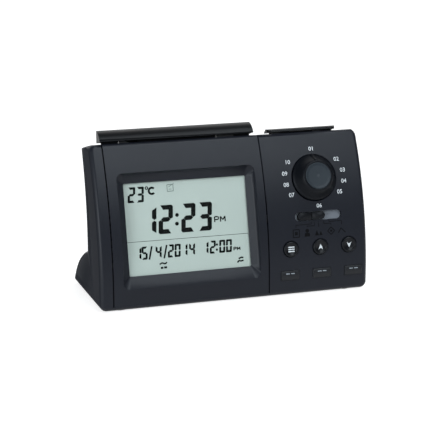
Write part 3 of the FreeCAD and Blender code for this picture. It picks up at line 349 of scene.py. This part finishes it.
def moulded(name, finish):
    """A plastic, rubber or metal finish from the table above."""
    colour, uneven, rough, spread, specular, metallic, scale, depth, wear = finish
    material = bpy.data.materials.new(name)
    material.use_nodes = True
    tree = material.node_tree
    shader = tree.nodes["Principled BSDF"]
    put(shader, Metallic=metallic, Specular_IOR_Level=specular, Roughness=rough)
    shader.inputs["Base Color"].default_value = linear(colour)
    tone = use_group(tree, tone_group, Colour=linear(colour), Amount=uneven)
    base = tone.outputs["Colour"]
    if wear:
        worn = tuple(min(255, c * wear_gain + wear_lift) for c in colour)
        edges = use_group(tree, edge_group, Amount=wear)
        base = blend_colour(tree, edges.outputs["Mask"], base, linear(worn))
    tree.links.new(base, shader.inputs["Base Color"])
    gloss = use_group(tree, gloss_group, Roughness=rough, Spread=spread)
    if name in side_roughness:
        wall = use_group(tree, side_group, Side_Roughness=side_roughness[name])
        tree.links.new(gloss.outputs["Roughness"], wall.inputs["Roughness"])
        gloss = wall
    tree.links.new(gloss.outputs["Roughness"], shader.inputs["Roughness"])
    grain = use_group(tree, grain_group, Scale=scale, Depth=depth)
    tree.links.new(grain.outputs["Normal"], shader.inputs["Normal"])
    return material


def make_window_material():
    """Clear acrylic: mostly see-through, with a faint reflection and a few dust specks."""
    material = bpy.data.materials.new("clear_window")
    material.use_nodes = True
    tree = material.node_tree
    shader = tree.nodes["Principled BSDF"]
    shader.inputs["Base Color"].default_value = linear((40, 43, 43))
    put(shader, Specular_IOR_Level=0.5, Roughness=0.06, Alpha=0.05)
    dust = noise(tree, scale=1300.0, detail=2.0, rough=0.5)
    specks = ramp(tree, dust.outputs["Fac"], low=0.74, high=0.8, to_low=0.04, to_high=0.12)
    tree.links.new(specks, shader.inputs["Alpha"])
    gloss = use_group(tree, gloss_group, Roughness=0.06, Spread=0.05)
    tree.links.new(gloss.outputs["Roughness"], shader.inputs["Roughness"])
    return material


materials = {name: moulded(name, finish) for name, finish in finishes.items()}
materials["clear_window"] = make_window_material()

# Prints and display segments: one finish in several colours
ink = (0.12, 0.6, 0.08, 0.08, 0.0, 2500.0, 0.000003, 0.0)
prints = {
    "print_white": (214, 218, 220),
    "print_pale": (150, 156, 162),
    "print_dark": (7, 8, 10),
    "lcd_dark": (10, 14, 12),
    "lcd_faint": (112, 126, 120),
}
for name, colour in prints.items():
    materials[name] = moulded(name, (colour,) + ink)


# Nodes of the part
slot_of = {entry["node"]: entry["material_slot"] for entry in frame["record"]["subparts"]}
finish_of = dict(slot_of, slide_lever="lever_plastic", slot_backing="backing_plastic")
body_of = {}
for body, members in frame["record"]["behaviour"]["bodies"].items():
    for member in members:
        body_of[member] = body


def paint(obj, material):
    obj.data.materials.clear()
    obj.data.materials.append(material)


for name, node in frame["nodes"].items():
    paint(node, materials[finish_of[name]])

# Curved walls whose facets get the true normals: centre y and z, radius, 1 if it bulges out or -1 if hollow
walls = [
    (front_centre_y, front_spring, front_radius, 1),
    (rear_centre_y, rear_spring, rear_radius, -1),
    (foot_centre_y, foot_centre_z, foot_radius, 1),
]

# How far a point may lie from a wall, in metres, and how well a facet must face along it
wall_tolerance = 0.00004
same_way = 0.985

# Points closer than this, in metres, are merged, and edges sharper than this stay sharp
weld_distance = 0.000002
sharp_angle = math.radians(32.0)


def wall_normal(point, wall):
    """Outward normal of a curved wall at a point, or nothing if the point isn't on it."""
    centre_y, centre_z, radius, sign = wall
    out = Vector((0, point.y - centre_y * mm, point.z - centre_z * mm))
    if abs(out.length - radius * mm) > wall_tolerance:
        return None
    return sign * out.normalized()


def smoothed(node_name):
    """A merged, smooth-shaded copy of a node, which stands for it."""
    node = frame["nodes"][node_name]
    mesh = node.data.copy()
    mesh.name = node_name + "_skin"
    work = bmesh.new()
    work.from_mesh(mesh)
    bmesh.ops.remove_doubles(work, verts=work.verts, dist=weld_distance)
    bmesh.ops.recalc_face_normals(work, faces=work.faces)
    for face in work.faces:
        face.smooth = True
    work.to_mesh(mesh)
    work.free()
    mesh.set_sharp_from_angle(angle=sharp_angle)
    # A normal of zero leaves a corner as Blender shades it
    normals = [Vector((0, 0, 0))] * len(mesh.loops)
    for face in mesh.polygons:
        corners = [mesh.vertices[i].co for i in face.vertices]
        for wall in walls:
            found = [wall_normal(c, wall) for c in corners]
            if all(found) and all(n.dot(face.normal) > same_way for n in found):
                for index, normal in zip(face.loop_indices, found):
                    normals[index] = normal
                break
    mesh.normals_split_custom_set(normals)
    piece = bpy.data.objects.new(node_name + "_skin", mesh)
    scene.collection.objects.link(piece)
    paint(piece, materials[finish_of[node_name]])
    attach(piece, body_of[node_name])
    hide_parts(node_name)


moulded_nodes = (
    "front_cover", "display_fascia", "rear_cover", "battery_door", "snooze_bar", "light_bar",
    "selector_knob", "knob_cap", "slide_lever", "set_button", "up_button", "down_button",
    "left_key", "middle_key", "right_key",
)
for name in moulded_nodes:
    smoothed(name)


# Marks: outlines in a local frame, laid on a surface
def shape_mesh(name, outlines, height):
    """Thin plates from closed outlines in millimetres, each a list of (x, y)."""
    work = bmesh.new()
    for outline in outlines:
        work.faces.new([work.verts.new((x, y, 0)) for x, y in outline])
    bmesh.ops.recalc_face_normals(work, faces=work.faces)
    for face in work.faces:
        if face.normal.z < 0:
            face.normal_flip()
    made = bmesh.ops.extrude_face_region(work, geom=list(work.faces))
    raised = [v for v in made["geom"] if isinstance(v, bmesh.types.BMVert)]
    bmesh.ops.translate(work, verts=raised, vec=(0, 0, height))
    bmesh.ops.recalc_face_normals(work, faces=work.faces)
    mesh = bpy.data.meshes.new(name)
    work.to_mesh(mesh)
    work.free()
    return mesh


# Height of a figure in Blender's own font, as a share of the font's size
figure_height = 0.73


def text_mesh(name, words, size, align, weight):
    """Figures as a flat mesh in millimetres, centred on the middle of their height."""
    curve = bpy.data.curves.new(name, "FONT")
    curve.body = words
    curve.size = size / figure_height
    curve.align_x = align
    curve.offset = weight * curve.size
    curve.resolution_u = 3
    holder = bpy.data.objects.new(name, curve)
    scene.collection.objects.link(holder)
    graph = bpy.context.evaluated_depsgraph_get()
    mesh = bpy.data.meshes.new_from_object(holder.evaluated_get(graph))
    bpy.data.objects.remove(holder)
    bpy.data.curves.remove(curve)
    for vertex in mesh.vertices:
        vertex.co.y -= size / 2
    mesh.name = name
    return mesh


def on_plane(mesh, matrix, level):
    """Lays a mesh in millimetres on a frame's plane, at a level above it."""
    for vertex in mesh.vertices:
        x, y, z = vertex.co
        vertex.co = matrix @ Vector((x * mm, y * mm, (z + level) * mm))


def on_panel(mesh, x0, z0):
    """Wraps a mesh in millimetres round the curved front, about a point on it."""
    for vertex in mesh.vertices:
        x, y, z = vertex.co
        angle = panel_tilt(z0) + y / front_radius
        radius = front_radius + print_gap + z
        place = (x0 + x, front_centre_y - radius * math.cos(angle), front_spring + radius * math.sin(angle))
        vertex.co = Vector(place) * mm


def finish_piece(name, meshes, material, body):
    """Joins meshes into one piece that rides on a body."""
    work = bmesh.new()
    for mesh in meshes:
        work.from_mesh(mesh)
        bpy.data.meshes.remove(mesh)
    whole = bpy.data.meshes.new(name)
    work.to_mesh(whole)
    work.free()
    piece = bpy.data.objects.new(name, whole)
    scene.collection.objects.link(piece)
    paint(piece, materials[material])
    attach(piece, body)


def ring(outer, inner, x=0.0, y=0.0, steps=28, start=0.0, sweep=360.0):
    """Outlines of a flat ring or a part of one."""
    outlines = []
    for i in range(steps):
        a = math.radians(start + sweep * i / steps)
        b = math.radians(start + sweep * (i + 1) / steps)
        corners = ((outer, a), (outer, b), (inner, b), (inner, a))
        outlines.append([(x + r * math.cos(t), y + r * math.sin(t)) for r, t in corners])
    return outlines


def disc(radius, x=0.0, y=0.0, steps=20):
    turns = [2 * math.pi * i / steps for i in range(steps)]
    return [(x + radius * math.cos(t), y + radius * math.sin(t)) for t in turns]


def bar(x0, y0, x1, y1, width):
    """Outline of a straight stroke between two points."""
    length = math.hypot(x1 - x0, y1 - y0)
    nx, ny = -(y1 - y0) / length * width / 2, (x1 - x0) / length * width / 2
    return [(x0 + nx, y0 + ny), (x0 - nx, y0 - ny), (x1 - nx, y1 - ny), (x1 + nx, y1 + ny)]


def strokes(points, width):
    return [bar(*a, *b, width) for a, b in zip(points, points[1:])]


# Display: segments of the numerals
segments = {
    "0": "abcdef", "1": "bc", "2": "abged", "3": "abgcd", "4": "fgbc",
    "5": "afgcd", "6": "afgedc", "7": "abc", "8": "abcdefg", "9": "abcdfg",
}

# Width, height and stroke of the numerals, and how far they lean for each unit of height
temperature_size = (5.2, 10.4, 1.6)
time_size = (9.9, 19.2, 3.1)
date_size = (4.2, 8.7, 1.4)
numeral_lean = 0.078


def numeral(digit, x, y, size):
    """Outlines of one seven-segment numeral with its lower left corner at x, y."""
    w, h, t = size
    m = h / 2
    cut = 0.35 * t
    shapes = {
        "a": [(cut, h), (w - cut, h), (w - t, h - t), (t, h - t)],
        "d": [(cut, 0), (t, t), (w - t, t), (w - cut, 0)],
        "f": [(0, h - cut), (t, h - t), (t, m + t / 2), (t / 2, m + 0.08 * t), (0, m + t / 3)],
        "e": [(0, cut), (0, m - t / 3), (t / 2, m - 0.08 * t), (t, m - t / 2), (t, t)],
        "g": [
            (t / 2, m), (t, m + t / 2), (w - t, m + t / 2),
            (w - t / 2, m), (w - t, m - t / 2), (t, m - t / 2),
        ],
        "fa": [(0, h - cut), (t, h - t), (cut, h)],
        "ed": [(0, cut), (cut, 0), (t, t)],
    }
    for left, right in (("f", "b"), ("e", "c"), ("fa", "ba"), ("ed", "cd")):
        shapes[right] = [(w - px, py) for px, py in shapes[left]]
    lit = segments[digit]
    outlines = []
    for key, shape in shapes.items():
        if all(part in lit for part in key):
            outlines.append([(x + px + numeral_lean * py, y + py) for px, py in shape])
    return outlines


def half_day(x, y, height, width):
    """The two letters after a time, as strokes."""
    first = [(0, 0), (0, 1), (0.6, 1), (0.78, 0.87), (0.78, 0.6), (0.6, 0.47), (0, 0.47)]
    second = [(1.15, 0), (1.15, 1), (1.6, 0.35), (2.05, 1), (2.05, 0)]
    outlines = []
    for line in (first, second):
        outlines += strokes([(x + px * height, y + py * height) for px, py in line], width)
    return outlines


def lcd_outlines():
    """Everything that the display shows, as outlines in its own plane."""
    dark = []
    for digit, x in (("2", -40.0), ("3", -34.1)):
        dark += numeral(digit, x, 17.8, temperature_size)
    dark += ring(1.2, 0.45, x=-26.4, y=27.0, steps=18)
    dark += ring(2.8, 1.35, x=-22.9, y=24.9, steps=22, start=42.0, sweep=276.0)
    for digit, x in (("1", -31.8), ("2", -20.4), ("2", -4.6), ("3", 7.0)):
        dark += numeral(digit, x, -4.4, time_size)
    dark += [disc(1.3, -6.7, 7.6), disc(1.3, -7.2, 1.8)]
    date = (("1", -37.7), ("5", -33.4), ("4", -23.7), ("2", -15.2), ("0", -10.5), ("1", -5.7), ("4", -0.4))
    for digit, x in date:
        dark += numeral(digit, x, -20.4, date_size)
    dark += [bar(-28.0, -20.6, -25.7, -11.8, 1.15), bar(-17.7, -20.6, -15.4, -11.8, 1.15)]
    for digit, x in (("1", 9.1), ("2", 14.2), ("0", 20.9), ("0", 25.7)):
        dark += numeral(digit, x, -20.2, date_size)
    dark += [disc(0.8, 19.7, -14.4, steps=12), disc(0.8, 19.4, -17.8, steps=12)]
    dark += half_day(19.4, 0.8, height=3.6, width=0.85)
    dark += half_day(31.5, -19.3, height=2.1, width=0.7)
    dark.append([(-42.4, -8.35), (-42.4, -8.05), (42.4, -8.35), (42.4, -8.65)])
    dark += strokes([(-21.2, -24.4), (-19.4, -23.4), (-17.4, -24.3), (-16.0, -23.3)], 1.0)
    dark += strokes([(-20.6, -26.8), (-18.8, -26.8)], 1.4) + strokes([(-18.3, -26.7), (-16.2, -26.7)], 1.4)
    dark += strokes([(33.4, -27.8), (34.4, -26.4), (36.0, -26.9), (37.8, -26.5)], 1.1)
    dark += strokes([(34.4, -25.2), (36.0, -24.4), (37.8, -24.6)], 1.1)
    faint = strokes([(-12.2, 23.8), (-8.0, 23.8), (-8.0, 28.2), (-12.2, 28.2), (-12.2, 23.8)], 0.45)
    faint += strokes([(-11.2, 25.2), (-9.2, 25.2)], 0.4) + strokes([(-11.2, 26.7), (-7.4, 28.9)], 0.4)
    return dark, faint


def make_display():
    dark, faint = lcd_outlines()
    shown = (
        ("lcd_segments", dark, segment_height, "lcd_dark"),
        ("lcd_ghost_icon", faint, print_height, "lcd_faint"),
    )
    for name, outlines, height, material in shown:
        mesh = shape_mesh(name, outlines, height)
        on_plane(mesh, lcd_frame, lcd_front + lcd_gap)
        finish_piece(name, [mesh], material, "case")


# Prints on the curved panel
def make_dial_numbers():
    """Plain numbers from 01 to 10 round the knob."""
    number_size = 2.9
    number_weight = 0.01
    meshes = []
    spots = (
        ("01", 59.7, 97.6, "CENTER"),
        ("02", 75.0, 90.0, "LEFT"),
        ("03", 78.6, 82.8, "LEFT"),
        ("04", 78.6, 75.6, "LEFT"),
        ("05", 74.8, 68.8, "LEFT"),
        ("06", 60.9, 60.6, "CENTER"),
        ("07", 43.6, 68.8, "RIGHT"),
        ("08", 40.4, 75.6, "RIGHT"),
        ("09", 40.2, 82.8, "RIGHT"),
        ("10", 43.2, 90.0, "RIGHT"),
    )
    for words, x, z, align in spots:
        mesh = text_mesh("number", words, number_size, align, number_weight)
        on_panel(mesh, x, z)
        meshes.append(mesh)
    finish_piece("dial_numbers", meshes, "print_white", "case")


def make_slot_guides():
    """Lead lines under the slide switch and a plain pictogram for each of its places."""
    line_stroke = 0.42
    icon_z = 43.0
    icon_stroke = 0.6
    meshes = []
    lines = [
        [(43.0, 46.6), (43.0, 48.6), (54.3, 48.6), (54.3, 50.2)],
        [(51.0, 46.8), (51.0, 47.4), (56.6, 47.4), (56.6, 50.2)],
        [(59.4, 46.4), (59.4, 50.2)],
        [(68.5, 47.2), (68.5, 48.2), (63.4, 48.2), (63.4, 50.2)],
        [(76.4, 46.8), (76.4, 49.4), (67.2, 49.4), (67.2, 50.2)],
    ]
    base = 46.0
    outlines = []
    for line in lines:
        outlines += strokes([(x, z - base) for x, z in line], line_stroke)
    mesh = shape_mesh("lines", outlines, print_height)
    on_panel(mesh, 0.0, base)
    meshes.append(mesh)
    icons = {
        43.0: strokes([(-2.2, -2.6), (2.2, -2.6), (2.2, 2.6), (-2.2, 2.6), (-2.2, -2.6)], icon_stroke)
        + [[(-1.0, -1.2), (1.0, -1.2), (1.0, 1.2), (-1.0, 1.2)]],
        51.0: [disc(1.35, 0, 1.3, steps=14), [(-2.0, -2.6), (2.0, -2.6), (1.6, -0.2), (-1.6, -0.2)]],
        59.2: [[(-2.6, -2.4), (0.2, -2.4), (-1.2, 1.4)], [(0.5, -2.4), (2.9, -2.4), (1.7, 0.4)]],
        68.5: strokes([(-2.6, 0.0), (0.0, 2.6), (2.6, 0.0), (0.0, -2.6), (-2.6, 0.0)], icon_stroke)
        + [disc(0.8, steps=12)],
        76.4: strokes([(-2.6, -1.8), (-0.6, 1.4), (0.6, 0.2), (2.6, -1.8)], icon_stroke),
    }
    for x, shapes in icons.items():
        mesh = shape_mesh("icon", shapes, print_height)
        on_panel(mesh, x, icon_z)
        meshes.append(mesh)
    finish_piece("slot_guides", meshes, "print_dark", "case")


# Marks on the buttons and keys
def make_button_marks():
    """A list sign, an up arrow and a down arrow in the dishes of the round buttons."""
    up = [
        [(0.0, 2.0), (-1.7, -1.7), (-0.1, -0.7)],
        [(0.0, 2.0), (0.1, -0.7), (1.7, -1.7)],
        [(0.0, 2.0), (-0.1, -0.7), (0.1, -0.7)],
    ]
    down = [[(x, -y) for x, y in outline] for outline in up]
    menu_stroke = 0.75
    menu = [bar(-2.2, y, 2.2, y, menu_stroke) for y in (1.45, 0.0, -1.45)]
    marks = (
        ("set_mark", menu, 38.8, "set_press"),
        ("up_mark", up, 60.2, "up_press"),
        ("down_mark", down, 81.2, "down_press"),
    )
    for name, outlines, x, body in marks:
        mesh = shape_mesh(name, outlines, mark_height)
        on_plane(mesh, panel_frame(x, button_z), button_rise - button_dish_depth + mark_gap)
        finish_piece(name, [mesh], "print_white", body)


def make_key_marks():
    """A pair of short dashes on each key."""
    keys = (
        ("left_mark", 37.85, "left_press"),
        ("middle_mark", 61.05, "middle_press"),
        ("right_mark", 84.3, "right_press"),
    )
    dash_y = 1.3
    dash_stroke = 0.62
    dashes = [bar(-3.1, dash_y, -0.5, dash_y, dash_stroke), bar(0.5, dash_y, 3.1, dash_y, dash_stroke)]
    for name, x, body in keys:
        mesh = shape_mesh(name, dashes, mark_height)
        on_plane(mesh, panel_frame(x, key_z), key_rise + mark_gap)
        finish_piece(name, [mesh], "print_pale", body)


# Pieces made by geometry nodes
def rib_tree(name, material):
    """Geometry nodes that stand a block on each point, as long and as high as the point says."""
    tree = bpy.data.node_groups.new(name, "GeometryNodeTree")
    face = tree.interface
    face.new_socket(name="Geometry", in_out="INPUT", socket_type="NodeSocketGeometry")
    face.new_socket(name="Width", in_out="INPUT", socket_type="NodeSocketFloat")
    face.new_socket(name="Sunk", in_out="INPUT", socket_type="NodeSocketFloat")
    face.new_socket(name="Geometry", in_out="OUTPUT", socket_type="NodeSocketGeometry")
    start = tree.nodes.new("NodeGroupInput")
    end = tree.nodes.new("NodeGroupOutput")
    block = tree.nodes.new("GeometryNodeMeshCube")
    block.inputs["Size"].default_value = (1.0, 1.0, 1.0)
    raised = add(tree, "GeometryNodeTransform")
    raised.inputs["Translation"].default_value = (0.0, 0.0, 0.5)
    tree.links.new(block.outputs["Mesh"], raised.inputs["Geometry"])
    length = add(tree, "GeometryNodeInputNamedAttribute", data_type="FLOAT")
    length.inputs["Name"].default_value = "length"
    height = add(tree, "GeometryNodeInputNamedAttribute", data_type="FLOAT")
    height.inputs["Name"].default_value = "height"
    size = add(tree, "ShaderNodeCombineXYZ")
    tree.links.new(length.outputs["Attribute"], size.inputs["X"])
    tree.links.new(start.outputs["Width"], size.inputs["Y"])
    tree.links.new(maths(tree, "ADD", height.outputs["Attribute"], start.outputs["Sunk"]), size.inputs["Z"])
    stand = add(tree, "GeometryNodeInstanceOnPoints")
    tree.links.new(start.outputs["Geometry"], stand.inputs["Points"])
    tree.links.new(raised.outputs["Geometry"], stand.inputs["Instance"])
    tree.links.new(size.outputs["Vector"], stand.inputs["Scale"])
    down = add(tree, "ShaderNodeCombineXYZ")
    tree.links.new(maths(tree, "MULTIPLY", start.outputs["Sunk"], -1.0), down.inputs["Z"])
    drop = add(tree, "GeometryNodeTransform")
    tree.links.new(down.outputs["Vector"], drop.inputs["Translation"])
    real = add(tree, "GeometryNodeRealizeInstances")
    coat = add(tree, "GeometryNodeSetMaterial")
    coat.inputs["Material"].default_value = material
    tree.links.new(stand.outputs["Instances"], drop.inputs["Geometry"])
    tree.links.new(drop.outputs["Geometry"], real.inputs["Geometry"])
    tree.links.new(real.outputs["Geometry"], coat.inputs["Geometry"])
    tree.links.new(coat.outputs["Geometry"], end.inputs["Geometry"])
    return tree


def make_ribs(name, spots, width, sunk, rounding, matrix, material, body):
    """A piece of rounded ribs, each at (x, y, length, height) on a plane, in millimetres."""
    points = bpy.data.meshes.new(name + "_points")
    points.from_pydata([(x, y, 0.0) for x, y, _, _ in spots], [], [])
    for label, column in (("length", 2), ("height", 3)):
        values = points.attributes.new(label, "FLOAT", "POINT")
        values.data.foreach_set("value", [float(spot[column]) for spot in spots])
    maker = bpy.data.objects.new(name + "_maker", points)
    scene.collection.objects.link(maker)
    tree = rib_tree(name + "_tree", materials[material])
    nodes = maker.modifiers.new("ribs", "NODES")
    nodes.node_group = tree
    sizes = {"Width": float(width), "Sunk": float(sunk)}
    for item in tree.interface.items_tree:
        if item.in_out == "INPUT" and item.name in sizes:
            nodes[item.identifier] = sizes[item.name]
    soft = maker.modifiers.new("rounding", "BEVEL")
    soft.width = rounding
    soft.segments = 2
    view = bpy.context.evaluated_depsgraph_get()
    whole = bpy.data.meshes.new_from_object(maker.evaluated_get(view), depsgraph=view)
    whole.name = name
    bpy.data.objects.remove(maker)
    whole.transform(matrix @ Matrix.Diagonal((mm, mm, mm, 1.0)))
    piece = bpy.data.objects.new(name, whole)
    scene.collection.objects.link(piece)
    paint(piece, materials[material])
    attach(piece, body)


def make_shade_seals():
    """Low near-black ribs on the sloping top, inside the hollow of each bar: they close the gap under the
    bars, and their colour is painted shade standing in for the shadow there.
    """
    turned = Matrix.Rotation(-top_slope, 4, "X")
    top = Matrix.Translation(Vector((0, top_front_y, case_height)) * mm) @ turned
    seal_y = 5.6
    seal_width = 3.0
    seal_sunk = 0.4
    seal_rounding = 0.3
    tall = 3.0
    low = 0.9
    spans = (
        (-85.0, -73.75, tall), (-60.85, -5.75, tall), (7.15, 18.4, tall),
        (33.4, 34.55, low), (47.45, 64.55, low), (77.45, 78.6, low),
    )
    spots = [((left + right) / 2, seal_y, right - left, height) for left, right, height in spans]
    make_ribs("shade_seals", spots, seal_width, seal_sunk, seal_rounding, top, "painted_shade_seal", "case")


make_camera()
make_shade_seals()
make_display()
make_dial_numbers()
make_slot_guides()
make_button_marks()
make_key_marks()


# Floor, backdrop and lamps
def make_stage():
    """A plain sweep that the camera, the reflections and the clear window all see as white."""
    half_width = 3.0
    front_edge_y = -2.4
    bend_y = 1.2
    bend_radius = 0.8
    top_z = 3.0
    floor_grey = (0.5, 0.5, 0.5, 1)
    floor_glow = 0.8
    profile = [(front_edge_y, 0.0), (bend_y, 0.0)]
    for degrees in range(10, 91, 10):
        turn = math.radians(degrees)
        profile.append((bend_y + bend_radius * math.sin(turn), bend_radius - bend_radius * math.cos(turn)))
    profile.append((bend_y + bend_radius, top_z))
    work = bmesh.new()
    rows = [[work.verts.new((x, y, z)) for x in (-half_width, half_width)] for y, z in profile]
    for low, high in zip(rows, rows[1:]):
        work.faces.new((low[0], low[1], high[1], high[0])).smooth = True
    mesh = bpy.data.meshes.new("sweep")
    work.to_mesh(mesh)
    work.free()
    sweep = bpy.data.objects.new("sweep", mesh)
    scene.collection.objects.link(sweep)
    material = bpy.data.materials.new("sweep_paper")
    material.use_nodes = True
    tree = material.node_tree
    shader = tree.nodes["Principled BSDF"]
    put(shader, Roughness=0.9, Specular_IOR_Level=0.1)
    shader.inputs["Base Color"].default_value = floor_grey
    rays = add(tree, "ShaderNodeLightPath")
    glow = add(tree, "ShaderNodeEmission")
    seen = maths(tree, "MAXIMUM", rays.outputs["Is Camera Ray"], rays.outputs["Is Glossy Ray"])
    seen = maths(tree, "MAXIMUM", seen, rays.outputs["Is Transmission Ray"])
    tree.links.new(ramp(tree, seen, 0.0, 1.0, to_high=floor_glow), glow.inputs["Strength"])
    both = add(tree, "ShaderNodeAddShader")
    tree.links.new(shader.outputs["BSDF"], both.inputs[0])
    tree.links.new(glow.outputs["Emission"], both.inputs[1])
    tree.links.new(both.outputs["Shader"], tree.nodes["Material Output"].inputs["Surface"])
    paint(sweep, material)


def make_lamp(name, place, target, width, height, power, colour):
    data = bpy.data.lights.new(name, "AREA")
    data.shape = "RECTANGLE"
    data.size = width
    data.size_y = height
    data.energy = power
    data.color = colour
    lamp = bpy.data.objects.new(name, data)
    scene.collection.objects.link(lamp)
    lamp.location = place
    direction = Vector(target) - Vector(place)
    lamp.rotation_mode = "QUATERNION"
    lamp.rotation_quaternion = direction.to_track_quat("-Z", "Y")


def make_world():
    """A weak, even white light from everywhere."""
    world = bpy.data.worlds.new("world")
    world.use_nodes = True
    put(world.node_tree.nodes["Background"], Color=(1, 1, 1, 1), Strength=0.22)
    scene.world = world


make_stage()
make_world()

# Lamps: name, place, target, width and height in metres, power in watts, colour
cool = (0.86, 0.94, 1.0)
make_lamp("key", (0.25, -1.10, 0.95), (0, 0, 0.07), 0.9, 0.6, 8.5, cool)
make_lamp("left", (-1.15, -0.85, 0.25), (-0.05, 0, 0.05), 0.5, 0.7, 12.0, cool)
make_lamp("top", (0.38, -0.5, 1.3), (0, 0, 0.04), 0.7, 0.5, 8.0, cool)
make_lamp("back", (0.2, 1.1, 1.1), (0, 0.3, 0.0), 1.6, 0.8, 6.0, (1.0, 1.0, 1.0))
